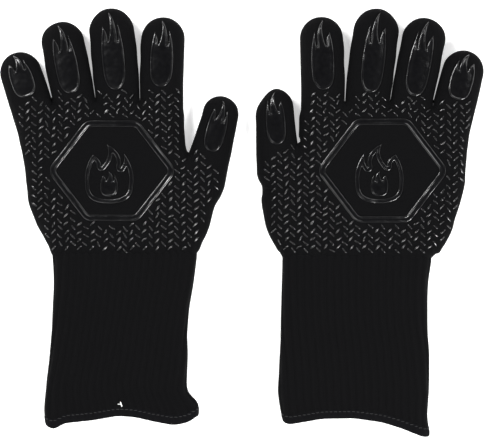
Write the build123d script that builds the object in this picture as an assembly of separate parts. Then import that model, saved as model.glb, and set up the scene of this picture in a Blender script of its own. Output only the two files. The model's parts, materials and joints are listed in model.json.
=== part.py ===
from build123d import *
import os
from dataclasses import dataclass, replace
from math import atan2, cos, degrees, radians, sin

# A pair of long barbecue gloves, lying flat and palm side up, thumbs inward, fingers towards +Y.
# Each glove is drawn in its own flat frame: u runs across the hand towards the thumb, v runs from
# the middle of the wrist towards the fingertips, and z is height above the table. Millimetres.
OUT_DIR = "parts"

# --- cloth build-up ---
THICK = 19.0  # a glove lying flat: both walls and the air between them
KNIT_WALL = 2.0  # outer aramid knit
LINER_WALL = 1.2  # cotton lining
EDGE_SHARE = 0.45  # edge rounding, as a share of the thickness
HEM_LENGTH = 9.0  # folded band round the cuff's mouth
CUFF_LENGTH = 150.0  # wrist fold to the cuff's mouth
PALM_LENGTH = 131.5  # wrist fold to the fold at the root of the four fingers
DRAWN_CUFF = 150.0  # the cuff and palm lengths that the rounds of both gloves are drawn for
DRAWN_PALM = 131.5

# --- folding lines ---
ROLL_PROUD = 0.4  # a rolling end's radius beyond half the thickness
JOINT_GAP = 0.6  # free space between a rolling end and the piece it folds on
THUMB_FOLD_TURN = -36.9  # thumb's fold, degrees from the u axis
TOOL_SIZE = 800.0  # larger than the pair, for cutting tools

# --- silicone print ---
PRINT_HEIGHT = 0.8  # how far the silicone stands up from the knit
BADGE_BAND = 5.5  # width of the six-sided ring's band
BADGE_CORNER = 7.0  # rounding of the ring's corners
BADGE_TOP_SHARE = 0.4  # flat top edge, as a share of the ring's width
BADGE_CLEAR = 1.2  # plain knit kept between the ring and the dashes
PALM_FLAME = (41.0, 50.0)  # width and height of the flame inside the ring
DIGIT_FLAME_HEIGHT = 24.0  # tallest flame at a fingertip
DIGIT_FLAME_WIDTH_SHARE = 0.6  # its width, as a share of its height
DIGIT_FLAME_CLEAR = 1.0  # plain knit between the flame and the fold or the rounded rim
DASH_SIZE = (5.7, 1.5)  # length and width of one dash
DASH_TURN = 45.0  # a dash's slope, degrees
DASH_COLUMN_PITCH = 5.5
DASH_ROW_PITCH = 6.8
PALM_DASH_FOOT_V = 6.0  # lowest dash above the wrist fold

# Half of a flame's outline on a unit square, foot at (0, 0): a low bowl and three tongues.
FLAME_BOWL = [(-0.5, 0.3), (-0.3, 0.06), (0.0, 0.0), (0.3, 0.06), (0.5, 0.3)]
FLAME_TONGUES = [
    [(0.5, 0.3), (0.5, 0.5), (0.36, 0.74)],
    [(0.36, 0.74), (0.31, 0.6), (0.2, 0.55)],
    [(0.2, 0.55), (0.24, 0.78), (0.02, 1.0)],
    [(0.02, 1.0), (0.02, 0.76), (-0.18, 0.5)],
    [(-0.18, 0.5), (-0.22, 0.6), (-0.34, 0.68)],
    [(-0.34, 0.68), (-0.48, 0.5), (-0.5, 0.3)],
]


@dataclass
class Digit:
    """A finger or thumb: a tapered round-ended bag from its root in the hand to its tip."""

    root: tuple
    root_r: float
    tip: tuple
    tip_r: float
    middle_v: float = 0.0


@dataclass
class Glove:
    """One glove's own sizes. Rounds are (u, v, radius), and a hull wraps them."""

    side: str
    thumb_sign: int
    origin: tuple
    palm: list
    mound: list
    cuff_rows: list
    fingers: dict
    thumb: Digit
    thumb_crotch: tuple
    badge_centre: tuple
    badge_half: tuple
    badge_turn: float


def lifted(v):
    """A drawn height above the wrist fold, for the cuff and palm lengths asked for."""
    if v < 0:
        return v * CUFF_LENGTH / DRAWN_CUFF
    if v < DRAWN_PALM:
        return v * PALM_LENGTH / DRAWN_PALM
    return v + PALM_LENGTH - DRAWN_PALM


def stretched(glove):
    """The glove as drawn, with its palm and cuff brought to the lengths asked for."""
    def rounds(row):
        return [(u, lifted(v), radius) for u, v, radius in row]

    def spot(place):
        return place[0], lifted(place[1])

    def digit(drawn):
        return replace(drawn, root=spot(drawn.root), tip=spot(drawn.tip), middle_v=lifted(drawn.middle_v))

    half_w, half_h = glove.badge_half
    return replace(
        glove,
        palm=rounds(glove.palm),
        mound=rounds(glove.mound),
        cuff_rows=[rounds(row) for row in glove.cuff_rows],
        fingers={name: digit(drawn) for name, drawn in glove.fingers.items()},
        thumb=digit(glove.thumb),
        thumb_crotch=spot(glove.thumb_crotch),
        badge_centre=spot(glove.badge_centre),
        badge_half=(half_w, half_h * PALM_LENGTH / DRAWN_PALM),
    )


LEFT = stretched(Glove(
    side="left",
    thumb_sign=1,
    origin=(-98.85, -25.1),
    palm=[(-84.0, 131, 14.5), (33.0, 131, 14.5), (34.0, 0, 21.4), (-40.8, 0, 21.4), (-58.7, 38.5, 23.1)],
    mound=[(59.8, 38.5, 20.5), (41.0, -6, 19.5)],
    cuff_rows=[[(-39.4, 0, 22), (39.4, 0, 22)], [(-42.3, -75, 21), (31, -75, 21)],
               [(-49, -150, 21), (40, -150, 21)]],
    fingers={
        "pinky": Digit((-71.5, 97), 16.6, (-90.3, 149.5), 16.6, 148.0),
        "ring": Digit((-38.7, 97), 16.7, (-54.0, 174.3), 17.4, 157.0),
        "middle": Digit((-4.6, 97), 17.9, (-12.5, 184.3), 18.4, 161.0),
        "index": Digit((31.2, 97), 17.0, (31.2, 178.2), 17.6, 158.0),
    },
    thumb=Digit((64.2, 53.5), 18.9, (81.8, 113.5), 15.2),
    thumb_crotch=(51.2, 80.0),
    badge_centre=(-12.9, 64.8),
    badge_half=(51.9, 42.2),
    badge_turn=1.0,
))

RIGHT = stretched(Glove(
    side="right",
    thumb_sign=-1,
    origin=(99.15, -27.6),
    palm=[(-87.0, 131, 14.5), (34.6, 131, 14.5), (34.0, 0, 22.5), (-43.5, 0, 22.5), (-65.5, 46, 23.4)],
    mound=[(63.1, 40.0, 21.0), (43.0, -6, 19.0)],
    cuff_rows=[[(-39.5, 0, 23), (42, 0, 23)], [(-37.6, -75, 22), (44, -75, 22)],
               [(-38.6, -150, 22), (46, -150, 22)]],
    fingers={
        "pinky": Digit((-74.0, 97), 17.2, (-89.8, 153.1), 16.8, 149.0),
        "ring": Digit((-39.6, 97), 16.9, (-56.0, 180.0), 17.6, 159.0),
        "middle": Digit((-5.0, 97), 17.6, (-15.6, 186.4), 18.6, 162.0),
        "index": Digit((31.4, 97), 18.2, (31.0, 181.2), 17.4, 159.0),
    },
    thumb=Digit((65.0, 55.0), 19.2, (73.2, 121.5), 15.9),
    thumb_crotch=(51.0, 89.0),
    badge_centre=(-21.5, 67.5),
    badge_half=(53.0, 43.6),
    badge_turn=-1.0,
))


def place(glove, u, v):
    """A glove's (u, v) as x, y in the pair's frame."""
    return glove.origin[0] + glove.thumb_sign * u, glove.origin[1] + v


def digit_rounds(digit):
    return [(*digit.root, digit.root_r), (*digit.tip, digit.tip_r)]


def digit_turn(glove, digit):
    """Angle in degrees from +Y to the digit's own direction, in the pair's frame."""
    along_u = glove.thumb_sign * (digit.tip[0] - digit.root[0])
    return degrees(atan2(-along_u, digit.tip[1] - digit.root[1]))


def outline(glove, rounds, inset=0.0):
    """Flat face that wraps the rounds, drawn in by inset."""
    circles = []
    for u, v, radius in rounds:
        x, y = place(glove, u, v)
        circles.append(Edge.make_circle(radius - inset).moved(Location((x, y, 0))))
    return make_hull(circles)


def pillow(glove, rounds, thick, inset=0.0):
    """A flat bag lying on the table: wrapped rounds, extruded, with both rims rounded."""
    height = thick - 2 * inset
    block = Pos(0, 0, inset) * extrude(outline(glove, rounds, inset), height)
    rims = block.faces().sort_by(Axis.Z)[0].edges() + block.faces().sort_by(Axis.Z)[-1].edges()
    return fillet(rims, EDGE_SHARE * thick - inset)


def fold_frame(glove, u, v, thick, turn=0.0):
    """Frame on a folding line: X along the fold, Y towards the piece that folds up."""
    x, y = place(glove, u, v)
    return Location((x, y, thick / 2), (0, 0, glove.thumb_sign * turn))


def roll_radius(thick):
    """Radius of the rounded end that a piece turns on."""
    return thick / 2 + ROLL_PROUD


def square_reach(thick):
    """From a fold back to the square end of the piece that it hangs on."""
    return roll_radius(thick) + JOINT_GAP


def behind(frame, thick):
    """What is cut off the piece that turns: all that lies behind its rounded end."""
    slab = Box(TOOL_SIZE, TOOL_SIZE, TOOL_SIZE, align=(Align.CENTER, Align.MAX, Align.CENTER))
    roll = Rot(0, 90, 0) * Cylinder(roll_radius(thick), TOOL_SIZE)
    return frame * (slab - roll)


def ahead(frame, thick):
    """What is cut off the piece that a fold hangs on: all past its square end."""
    slab = Box(TOOL_SIZE, TOOL_SIZE, TOOL_SIZE, align=(Align.CENTER, Align.MIN, Align.CENTER))
    return frame * Pos(0, -square_reach(thick), 0) * slab


def knuckle_frame(glove, digit):
    share = (PALM_LENGTH - digit.root[1]) / (digit.tip[1] - digit.root[1])
    u = digit.root[0] + share * (digit.tip[0] - digit.root[0])
    return fold_frame(glove, u, PALM_LENGTH, THICK)


def middle_frame(glove, digit):
    share = (digit.middle_v - digit.root[1]) / (digit.tip[1] - digit.root[1])
    u = digit.root[0] + share * (digit.tip[0] - digit.root[0])
    return fold_frame(glove, u, digit.middle_v, THICK)


def thumb_frame(glove):
    """The thumb folds on a line through the thumb's crotch, one rolling end further out."""
    turn = radians(THUMB_FOLD_TURN)
    along = (cos(turn), sin(turn))
    outward = (-sin(turn), cos(turn))
    reach = square_reach(THICK)
    crotch = [glove.thumb_crotch[i] + reach * outward[i] for i in (0, 1)]
    root, tip = glove.thumb.root, glove.thumb.tip
    across = [tip[i] - root[i] for i in (0, 1)]
    gap = [crotch[i] - root[i] for i in (0, 1)]
    share = (gap[0] * along[1] - gap[1] * along[0]) / (across[0] * along[1] - across[1] * along[0])
    u, v = (root[i] + share * across[i] for i in (0, 1))
    return fold_frame(glove, u, v, THICK, THUMB_FOLD_TURN)


def wrist_frame(glove):
    """The wrist's fold, with Y towards the hand."""
    return fold_frame(glove, 0, 0, THICK)


def layers(make_bag, cuts):
    """Knit wall and lining of a piece, from a function that gives its closed bag at an inset."""
    bags = [make_bag(inset) for inset in (0.0, KNIT_WALL, KNIT_WALL + LINER_WALL)]
    knit, lining = bags[0] - bags[1], bags[1] - bags[2]
    for cut in cuts:
        knit, lining = knit - cut, lining - cut
    return knit, lining


def hand_layers(glove):
    """Palm, thumb mound and thumb root, open at the wrist, across the knuckles and at the thumb."""
    def bag(inset):
        palm = pillow(glove, glove.palm, THICK, inset)
        return palm + pillow(glove, glove.mound, THICK, inset)

    def thumb(inset):
        return pillow(glove, digit_rounds(glove.thumb), THICK, inset)

    cuts = [ahead(fold_frame(glove, 0, PALM_LENGTH, THICK), THICK), behind(wrist_frame(glove), THICK)]
    root_cut = ahead(thumb_frame(glove), THICK)

    def wall(outer, inner):
        """One layer of cloth between two insets."""
        layer = bag(outer) + (thumb(outer) - root_cut) - bag(inner) - thumb(inner)
        for cut in cuts:
            layer -= cut
        return layer

    return wall(0.0, KNIT_WALL), wall(KNIT_WALL, KNIT_WALL + LINER_WALL)


def digit_layers(glove, digit, cuts):
    def bag(inset):
        return pillow(glove, digit_rounds(digit), THICK, inset)

    return layers(bag, cuts)


def finger_layers(glove, digit):
    """Root and end pieces of a finger: (knit, lining) of each."""
    knuckle, middle = knuckle_frame(glove, digit), middle_frame(glove, digit)
    root = digit_layers(glove, digit, [behind(knuckle, THICK), ahead(middle, THICK)])
    end = digit_layers(glove, digit, [behind(middle, THICK)])
    return root, end


def thumb_layers(glove):
    return digit_layers(glove, glove.thumb, [behind(thumb_frame(glove), THICK)])


def cuff_bag(glove, inset):
    """The cuff as a closed bag that runs past the mouth, waisted at its middle row."""
    top, waist, mouth = glove.cuff_rows
    past = [(u, v - THICK, radius) for u, v, radius in mouth]
    return pillow(glove, top + waist, THICK, inset) + pillow(glove, waist + past, THICK, inset)


def cuff_parts(glove):
    """Ribbed knit, lining and the folded hem round the mouth."""
    wrist_cut = ahead(wrist_frame(glove), THICK)
    hem_frame = fold_frame(glove, 0, HEM_LENGTH - CUFF_LENGTH, THICK)
    mouth_frame = fold_frame(glove, 0, -CUFF_LENGTH, THICK)
    far_side = Box(TOOL_SIZE, TOOL_SIZE, TOOL_SIZE, align=(Align.CENTER, Align.MIN, Align.CENTER))
    near_side = Box(TOOL_SIZE, TOOL_SIZE, TOOL_SIZE, align=(Align.CENTER, Align.MAX, Align.CENTER))

    def bag(inset):
        return cuff_bag(glove, inset)

    knit, lining = layers(bag, [wrist_cut, hem_frame * near_side])
    wall = bag(0.0) - bag(KNIT_WALL + LINER_WALL)
    hem = wall - hem_frame * far_side - mouth_frame * near_side
    return knit, lining, hem


def flame_face(width, height):
    """A plain flame of three tongues over a round bowl."""
    def scaled(points):
        return [(u * width, v * height) for u, v in points]

    edges = [Edge.make_spline([Vector(*p) for p in scaled(FLAME_BOWL)])]
    for tongue in FLAME_TONGUES:
        edges.append(Edge.make_spline([Vector(*p) for p in scaled(tongue)]))
    return Face(Wire(edges))


def badge_face(glove, grow=0.0):
    """Six-sided badge, flat on top and pointed at the sides, with rounded corners."""
    half_w, half_h = glove.badge_half
    top = BADGE_TOP_SHARE * half_w
    corners = [(half_w, 0), (top, half_h), (-top, half_h), (-half_w, 0), (-top, -half_h), (top, -half_h)]
    sharp = Polygon(*corners, align=None)
    plate = fillet(sharp.vertices(), BADGE_CORNER)
    if grow:
        plate = offset(plate, grow)
    x, y = place(glove, *glove.badge_centre)
    return Pos(x, y, 0) * Rot(0, 0, glove.badge_turn) * plate


def print_layer(face, height):
    """Raised silicone of a flat face, on knit whose top is at height."""
    return Pos(0, 0, height) * extrude(face, PRINT_HEIGHT)


def palm_badge(glove):
    """The six-sided ring with the flame inside it."""
    ring = badge_face(glove) - badge_face(glove, -BADGE_BAND)
    x, y = place(glove, *glove.badge_centre)
    width, height = PALM_FLAME
    flame = Pos(x, y - height / 2, 0) * flame_face(width, height)
    parts = print_layer(ring, THICK).solids() + print_layer(flame, THICK).solids()
    return Compound(children=parts)


def palm_dashes(glove):
    """Short raised dashes in columns that lean left and right by turns, round the badge."""
    keep_out = badge_face(glove, BADGE_CLEAR + DASH_SIZE[0] / 2).faces()[0]
    inner = outline(glove, glove.palm, EDGE_SHARE * THICK + DASH_SIZE[0] / 2)
    box = inner.bounding_box()
    foot = glove.origin[1] + PALM_DASH_FOOT_V
    head = glove.origin[1] + PALM_LENGTH - square_reach(THICK) - DASH_SIZE[0] / 2
    columns = int((box.max.X - box.min.X) / DASH_COLUMN_PITCH)
    rows = int((head - foot) / DASH_ROW_PITCH)
    dashes = []
    for column in range(columns + 1):
        lean = DASH_TURN if column % 2 else -DASH_TURN
        for row in range(rows + 1):
            x = box.min.X + column * DASH_COLUMN_PITCH
            y = foot + row * DASH_ROW_PITCH
            if not inner.is_inside((x, y, 0)) or keep_out.is_inside((x, y, 0)):
                continue
            dash = Pos(x, y, THICK) * Rot(0, 0, lean) * Box(
                *DASH_SIZE, PRINT_HEIGHT, align=(Align.CENTER, Align.CENTER, Align.MIN))
            dashes.append(dash)
    print(glove.side, "palm dashes", len(dashes))
    return Compound(children=dashes)


def digit_flame(glove, digit, fold):
    """Flame print near a digit's tip, on the flat stretch between its last fold and its rounded rim."""
    turn = digit_turn(glove, digit)
    tip = Vector(*place(glove, *digit.tip), 0)
    along = Vector(0, 1, 0).rotate(Axis.Z, turn)
    to_fold = (tip - Vector(fold.position.X, fold.position.Y, 0)).dot(along)
    head = digit.tip_r - EDGE_SHARE * THICK - DIGIT_FLAME_CLEAR
    foot = to_fold - DIGIT_FLAME_CLEAR
    height = min(DIGIT_FLAME_HEIGHT, head + foot)
    flame = flame_face(DIGIT_FLAME_WIDTH_SHARE * height, height)
    placed = Pos(tip.X, tip.Y, 0) * Rot(0, 0, turn) * Pos(0, head - height, 0) * flame
    return print_layer(placed, THICK)


def glove_nodes(glove):
    """Every node of one glove, by name."""
    nodes = {}
    nodes["hand_shell"], nodes["hand_liner"] = hand_layers(glove)
    nodes["palm_badge"] = palm_badge(glove)
    nodes["palm_dashes"] = palm_dashes(glove)
    nodes["cuff_rib"], nodes["cuff_liner"], nodes["cuff_hem"] = cuff_parts(glove)
    nodes["thumb_shell"], nodes["thumb_liner"] = thumb_layers(glove)
    nodes["thumb_flame"] = digit_flame(glove, glove.thumb, thumb_frame(glove))
    for name, digit in glove.fingers.items():
        root, end = finger_layers(glove, digit)
        nodes[f"{name}_root_shell"], nodes[f"{name}_root_liner"] = root
        nodes[f"{name}_end_shell"], nodes[f"{name}_end_liner"] = end
        nodes[f"{name}_flame"] = digit_flame(glove, digit, middle_frame(glove, digit))
    return {f"{glove.side}_{name}": shape for name, shape in nodes.items()}


def main():
    os.makedirs(OUT_DIR, exist_ok=True)
    for glove in (LEFT, RIGHT):
        for name, shape in glove_nodes(glove).items():
            export_step(shape, f"{OUT_DIR}/{name}.step")


if __name__ == "__main__":
    main()
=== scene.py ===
# %% [markdown]
# # A pair of heat resistant gloves
# The pair lies flat with the palms up: black knitted hands, silicone printing for grip, and long
# ribbed cuffs. Everything starts from the fixed CAD frame, because each piece has to move with it.

# %% Load the frame
import json
import math

import bmesh
import bpy
import numpy as np
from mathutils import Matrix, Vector


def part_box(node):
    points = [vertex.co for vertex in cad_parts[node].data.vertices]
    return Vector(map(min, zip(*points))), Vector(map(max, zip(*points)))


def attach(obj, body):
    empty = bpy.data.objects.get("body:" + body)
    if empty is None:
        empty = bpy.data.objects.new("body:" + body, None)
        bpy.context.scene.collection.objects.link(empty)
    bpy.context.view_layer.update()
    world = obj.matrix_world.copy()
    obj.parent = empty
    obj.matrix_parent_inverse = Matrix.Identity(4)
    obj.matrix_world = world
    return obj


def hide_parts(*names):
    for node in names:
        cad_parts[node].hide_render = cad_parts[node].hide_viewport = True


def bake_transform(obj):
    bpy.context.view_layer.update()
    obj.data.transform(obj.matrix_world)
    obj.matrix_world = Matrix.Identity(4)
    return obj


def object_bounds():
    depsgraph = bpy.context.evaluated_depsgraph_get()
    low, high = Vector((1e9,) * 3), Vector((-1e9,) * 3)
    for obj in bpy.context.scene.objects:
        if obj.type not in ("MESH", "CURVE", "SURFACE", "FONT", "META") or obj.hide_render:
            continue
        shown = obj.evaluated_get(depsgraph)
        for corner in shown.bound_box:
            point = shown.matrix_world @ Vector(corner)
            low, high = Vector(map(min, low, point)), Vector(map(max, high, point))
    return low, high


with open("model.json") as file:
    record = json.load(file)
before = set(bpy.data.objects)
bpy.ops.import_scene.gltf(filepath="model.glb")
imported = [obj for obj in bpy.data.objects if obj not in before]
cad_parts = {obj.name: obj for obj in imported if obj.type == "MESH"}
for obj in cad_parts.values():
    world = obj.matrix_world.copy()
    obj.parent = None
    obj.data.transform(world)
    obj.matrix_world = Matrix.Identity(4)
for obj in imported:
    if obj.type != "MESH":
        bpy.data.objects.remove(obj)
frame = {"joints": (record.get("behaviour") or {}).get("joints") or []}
cad_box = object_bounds()
joints = {joint["name"]: joint for joint in frame["joints"]}

# %% [markdown]
# ## One drawing for two hands
# A left and a right glove are nearly mirror images. So each glove is drawn in its own flat frame in
# millimetres: u runs across the hand towards the thumb, v from the wrist's fold to the fingertips, and
# z is height. The frame's joints say where the wrist, the knuckles and the finger bends are.

# %% Glove frames
MM = 0.001
CLOTH_HEIGHT = 19.0
FINGERS = ("pinky", "ring", "middle", "index")


class Glove:
    """Where one glove lies, and the way from its own frame to the scene."""

    def __init__(self, side, thumb_sign):
        self.side, self.thumb_sign = side, thumb_sign
        wrist = joints[f"{side}_wrist_fold"]["pos_m"]
        self.x, self.y = wrist[0] / MM, wrist[1] / MM

    def point(self, u, v, z=CLOTH_HEIGHT / 2):
        return Vector(((self.x + self.thumb_sign * u) * MM, (self.y + v) * MM, z * MM))

    def flat(self, place):
        """(u, v) of a scene point in metres."""
        return (place[0] / MM - self.x) * self.thumb_sign, place[1] / MM - self.y

    def joint(self, name):
        return self.flat(joints[f"{self.side}_{name}"]["pos_m"])

    def box(self, node):
        """Lowest and highest (u, v) of a CAD node."""
        corners = [self.flat(corner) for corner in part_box(f"{self.side}_{node}")]
        us, vs = sorted(c[0] for c in corners), sorted(c[1] for c in corners)
        return (us[0], vs[0]), (us[1], vs[1])

    def node(self, name):
        return f"{self.side}_{name}"


gloves = [Glove("left", 1), Glove("right", -1)]
for glove in gloves:
    print(glove.side, "wrist at", round(glove.x, 1), round(glove.y, 1))

# %% [markdown]
# ## The edge of each glove
# Cloth never has a ruler-straight edge. The side lines of the palm and of the cuff are a few control
# points each, in millimetres from the wrist, and a running average rounds them the way a knit hangs.

# %% Palm and cuff edges
PALM_EDGES = {
    "left": [(-63, -13), (-66, -1), (-74.5, 14), (-80, 27), (-84, 38), (-85, 48), (-87, 70), (-89, 88),
             (-86, 108), (-80, 119), (-62, 121), (-27, 122), (14, 125), (34, 126), (47, 118), (49, 98),
             (51, 80), (58, 72), (72, 62), (78, 50), (76.5, 40), (74, 30), (69, 12), (62, -3), (59, -12)],
    "right": [(-61, -13), (-65, -5), (-71, -2), (-79, 11), (-84, 28), (-89, 44), (-92, 57), (-93, 82),
              (-89, 108), (-82, 120), (-62, 123), (-27, 124), (14, 127), (34, 127), (48, 120), (50, 106),
              (51, 89), (57, 80), (72, 66), (83, 50), (82, 35), (78, 18), (72, 5), (66, -4), (64, -12)],
}
CUFF_SIDES = {
    "left": {
        "pinky": [(10, -60), (-4, -62.8), (-17, -61.6), (-33, -61.2), (-73, -63.5), (-93, -65),
                  (-117, -68), (-139, -70), (-150, -68)],
        "thumb": [(10, 57), (-4, 60.3), (-17, 58.6), (-33, 56.5), (-53, 53), (-73, 51.6), (-93, 52),
                  (-110, 51.3), (-120, 50.8), (-126, 52.5), (-133, 58), (-141, 62), (-150, 61)]},
    "right": {
        "pinky": [(10, -60), (-4, -62.5), (-14, -61.4), (-26, -59.4), (-40, -58.8), (-64, -59),
                  (-84, -60.4), (-117, -60), (-135, -58.5), (-148, -61), (-155, -60)],
        "thumb": [(10, 61), (-4, 64), (-15, 64), (-50, 65), (-84, 66), (-110, 67), (-124, 68),
                  (-141, 65.5), (-152, 63)]},
}
MOUTH_LINES = {
    "left": [(-70, -151), (-63, -155.5), (-58, -154), (-54, -150), (-28, -147.3), (-7, -143.5),
             (8, -144.5), (25, -148.5), (41, -151.5), (54, -149), (62, -143)],
    "right": [(-63, -158.5), (-57, -160), (-36, -151.5), (-20, -146.5), (4, -143), (31, -143.5),
              (53, -147.5), (62, -149), (66, -145)],
}
EDGE_SPREAD = 9
MOUTH_SPREAD = 7
FINEST = 1.0


def smoothed(points, spread):
    """A rounded line through (position, value) points, as a function of position."""
    points = sorted(points)
    at = np.arange(points[0][0], points[-1][0] + FINEST, FINEST)
    values = np.interp(at, [p[0] for p in points], [p[1] for p in points])
    window = np.ones(spread) / spread
    for _ in range(2):
        values = np.convolve(np.pad(values, spread // 2, mode="edge"), window, mode="valid")
    return lambda wanted: np.interp(wanted, at, values)


def rounded(corners, times=3):
    """A closed outline with its corners cut again and again until it is smooth."""
    line = np.array(corners, float)
    for _ in range(times):
        ahead = np.roll(line, -1, axis=0)
        line = np.stack([0.75 * line + 0.25 * ahead, 0.25 * line + 0.75 * ahead], 1).reshape(-1, 2)
    return line


for glove in gloves:
    glove.palm_line = rounded(PALM_EDGES[glove.side])
    glove.cuff_edge = {edge: smoothed(line, EDGE_SPREAD) for edge, line in CUFF_SIDES[glove.side].items()}
    glove.mouth = smoothed(MOUTH_LINES[glove.side], MOUTH_SPREAD)
    print(glove.side, "palm outline points", len(glove.palm_line))

# %% [markdown]
# ## Fingers and thumb
# A finger of a flat glove is a tapered bag with a round end. Its axis runs through two joints of the
# frame, and the end piece's box gives the tip's centre and radius. A few small shifts then allow for
# cloth that lies a little fuller, or a little to one side, of the plain CAD shape.

# %% Digits
ROOT_RADII = {"pinky": 20.2, "ring": 21.3, "middle": 22.2, "index": 19.8}
INDEX_SHIFT = -2.8
ROOT_DEPTH = 36.0
THUMB_TIP_RADII = {"left": 15.4, "right": 16.2}
THUMB_SHIFT = {"left": (-1.1, 0.0), "right": (-1.6, 0.6)}
THUMB_ROOT_RADIUS = 19.0
THUMB_ROOT_REACH = 0.62
THUMB_SLANT = ((90.0, 118.0), (74.0, 139.0))
TIP_FULLNESS = 0.8


class Digit:
    """A tapered capsule in the (u, v) plane, from root to tip."""

    def __init__(self, root, root_radius, tip, tip_radius):
        self.root, self.tip = np.array(root, float), np.array(tip, float)
        self.root_radius, self.tip_radius = root_radius, tip_radius

    def across(self, v):
        """The axis's u at a given v."""
        share = (v - self.root[1]) / (self.tip[1] - self.root[1])
        return self.root[0] + share * (self.tip[0] - self.root[0])

    def depth(self, u, v):
        """How far inside the outline a point is."""
        along = self.tip - self.root
        share = ((u - self.root[0]) * along[0] + (v - self.root[1]) * along[1]) / (along @ along)
        share = np.clip(share, 0, 1)
        off = np.hypot(u - self.root[0] - share * along[0], v - self.root[1] - share * along[1])
        return self.root_radius + share * (self.tip_radius - self.root_radius) - off


def finger_of(glove, name):
    knuckle, bend = np.array(glove.joint(f"{name}_knuckle")), np.array(glove.joint(f"{name}_bend"))
    along = (bend - knuckle) / np.linalg.norm(bend - knuckle)
    low, high = glove.box(f"{name}_end_shell")
    reach = (high[1] + low[0] - knuckle.sum()) / along.sum()
    tip = knuckle + reach * along
    root = knuckle - ROOT_DEPTH * along + (INDEX_SHIFT if name == "index" else 0, 0)
    finger = Digit(root, ROOT_RADII[name], tip, high[1] - tip[1] + TIP_FULLNESS)
    finger.name, finger.knuckle_v, finger.bend_v = name, knuckle[1], bend[1]
    return finger


def thumb_of(glove):
    fold = joints[f"{glove.side}_thumb_fold"]
    centre = np.array(glove.flat(fold["pos_m"]))
    _, high = glove.box("thumb_shell")
    radius = THUMB_TIP_RADII[glove.side]
    tip = np.array(high) - radius + THUMB_SHIFT[glove.side]
    root = centre + (centre - tip) * THUMB_ROOT_REACH
    thumb = Digit(root, THUMB_ROOT_RADIUS, tip, radius)
    thumb.outward = np.array([abs(fold["axis"][1]), abs(fold["axis"][0])])
    thumb.centre = centre
    return thumb


for glove in gloves:
    glove.fingers = {name: finger_of(glove, name) for name in FINGERS}
    glove.thumb = thumb_of(glove)
    for name, digit in [*glove.fingers.items(), ("thumb", glove.thumb)]:
        print(glove.side, name, "tip", np.round(digit.tip, 1), "radius", round(digit.tip_radius, 1))

# %% [markdown]
# ## Cloth as a field
# Where fingers, thumb and palm run together, joining separate meshes leaves creases. A field avoids
# that: a number at every point, negative inside the cloth. Depth from the outline gives each section
# its pillow shape, and a soft minimum melts one part into the next.

# %% Field helpers
TOP_POWER = 2.3
UNDERSIDE_POWER = 4.0
RIPPLE_HEIGHT = 0.045
RIPPLE_PITCHES = (0.1, 0.36)
RIPPLE_COUNT = 12
ripple_draw = np.random.default_rng(11)
RIPPLES = [(ripple_draw.uniform(*RIPPLE_PITCHES), ripple_draw.uniform(0, math.pi),
            ripple_draw.uniform(0, 6.3)) for _ in range(RIPPLE_COUNT)]


def ripples(u, v, z):
    """Gentle unevenness of cloth, the same for every piece, fading to none on the table."""
    total = 0.0
    for pitch, turn, start in RIPPLES:
        wave = np.sin(pitch * (u * math.cos(turn) + v * math.sin(turn)) + start)
        total = total + wave * RIPPLE_PITCHES[0] / pitch
    return total / 3 * np.clip(z / CLOTH_HEIGHT, 0, 1)


def soft_min(a, b, width):
    """The smaller of two numbers, rounded off where they are close."""
    share = np.clip(0.5 + 0.5 * (b - a) / width, 0, 1)
    return b * (1 - share) + a * share - width * share * (1 - share)


def outline_depth(line, u, v):
    """Distance inside a closed outline, and negative outside it."""
    nearest = np.full(np.shape(u), 1e9)
    inside = np.zeros(np.shape(u), bool)
    for start, end in zip(line, np.roll(line, -1, axis=0)):
        along = end - start
        share = np.clip(((u - start[0]) * along[0] + (v - start[1]) * along[1]) / (along @ along), 0, 1)
        off = np.hypot(u - start[0] - share * along[0], v - start[1] - share * along[1])
        nearest = np.minimum(nearest, off)
        if start[1] != end[1]:
            crosses = (start[1] > v) != (end[1] > v)
            inside ^= crosses & (u < start[0] + (v - start[1]) * along[0] / along[1])
    return np.where(inside, nearest, -nearest)


def pillow(depth, z, reach, height):
    """Section of a flat bag: crowned above, flatter where it rests on the table."""
    edge = np.maximum(0, 1 - depth / reach)
    level = (z - CLOTH_HEIGHT / 2) / (height / 2)
    power = np.where(level > 0, TOP_POWER, UNDERSIDE_POWER)
    return (edge ** power + np.abs(level) ** power) ** (1 / power) - 1


print("ripple waves", len(RIPPLES), "height scale", round(RIPPLE_HEIGHT * CLOTH_HEIGHT / 2, 2), "mm")

# %% [markdown]
# ## Fields of the fingers and thumbs
# Neighbouring fingers press flat against each other. They could be pushed apart by hand, but it is
# simpler to let each finger's outline also stop at the line half-way to the next one. The right thumb
# lies pressed flat on its outer side, which is one more straight line that cuts its outline.

# %% Finger and thumb fields
NEIGHBOUR_GAP = 0.2
PRESS_ROUND = 2.5
SLANT_ROUND = 6.0


def finger_depth(glove, name, u, v):
    finger = glove.fingers[name]
    depth = finger.depth(u, v)
    place = FINGERS.index(name)
    for other_place, sign in ((place - 1, 1), (place + 1, -1)):
        if 0 <= other_place < len(FINGERS):
            other = glove.fingers[FINGERS[other_place]]
            share = finger.tip_radius / (finger.tip_radius + other.tip_radius)
            middle = finger.across(v) + share * (other.across(v) - finger.across(v))
            depth = soft_min(depth, sign * (u - middle) - NEIGHBOUR_GAP, PRESS_ROUND)
    return depth


def finger_field(glove, name):
    finger = glove.fingers[name]

    def field(u, v, z):
        body = pillow(finger_depth(glove, name, u, v), z, finger.tip_radius, CLOTH_HEIGHT)
        return body - RIPPLE_HEIGHT * ripples(u, v, z)
    return field


def thumb_outward(glove, u, v):
    """Distance past the thumb's fold, along its outward normal."""
    thumb = glove.thumb
    return (u - thumb.centre[0]) * thumb.outward[0] + (v - thumb.centre[1]) * thumb.outward[1]


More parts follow.
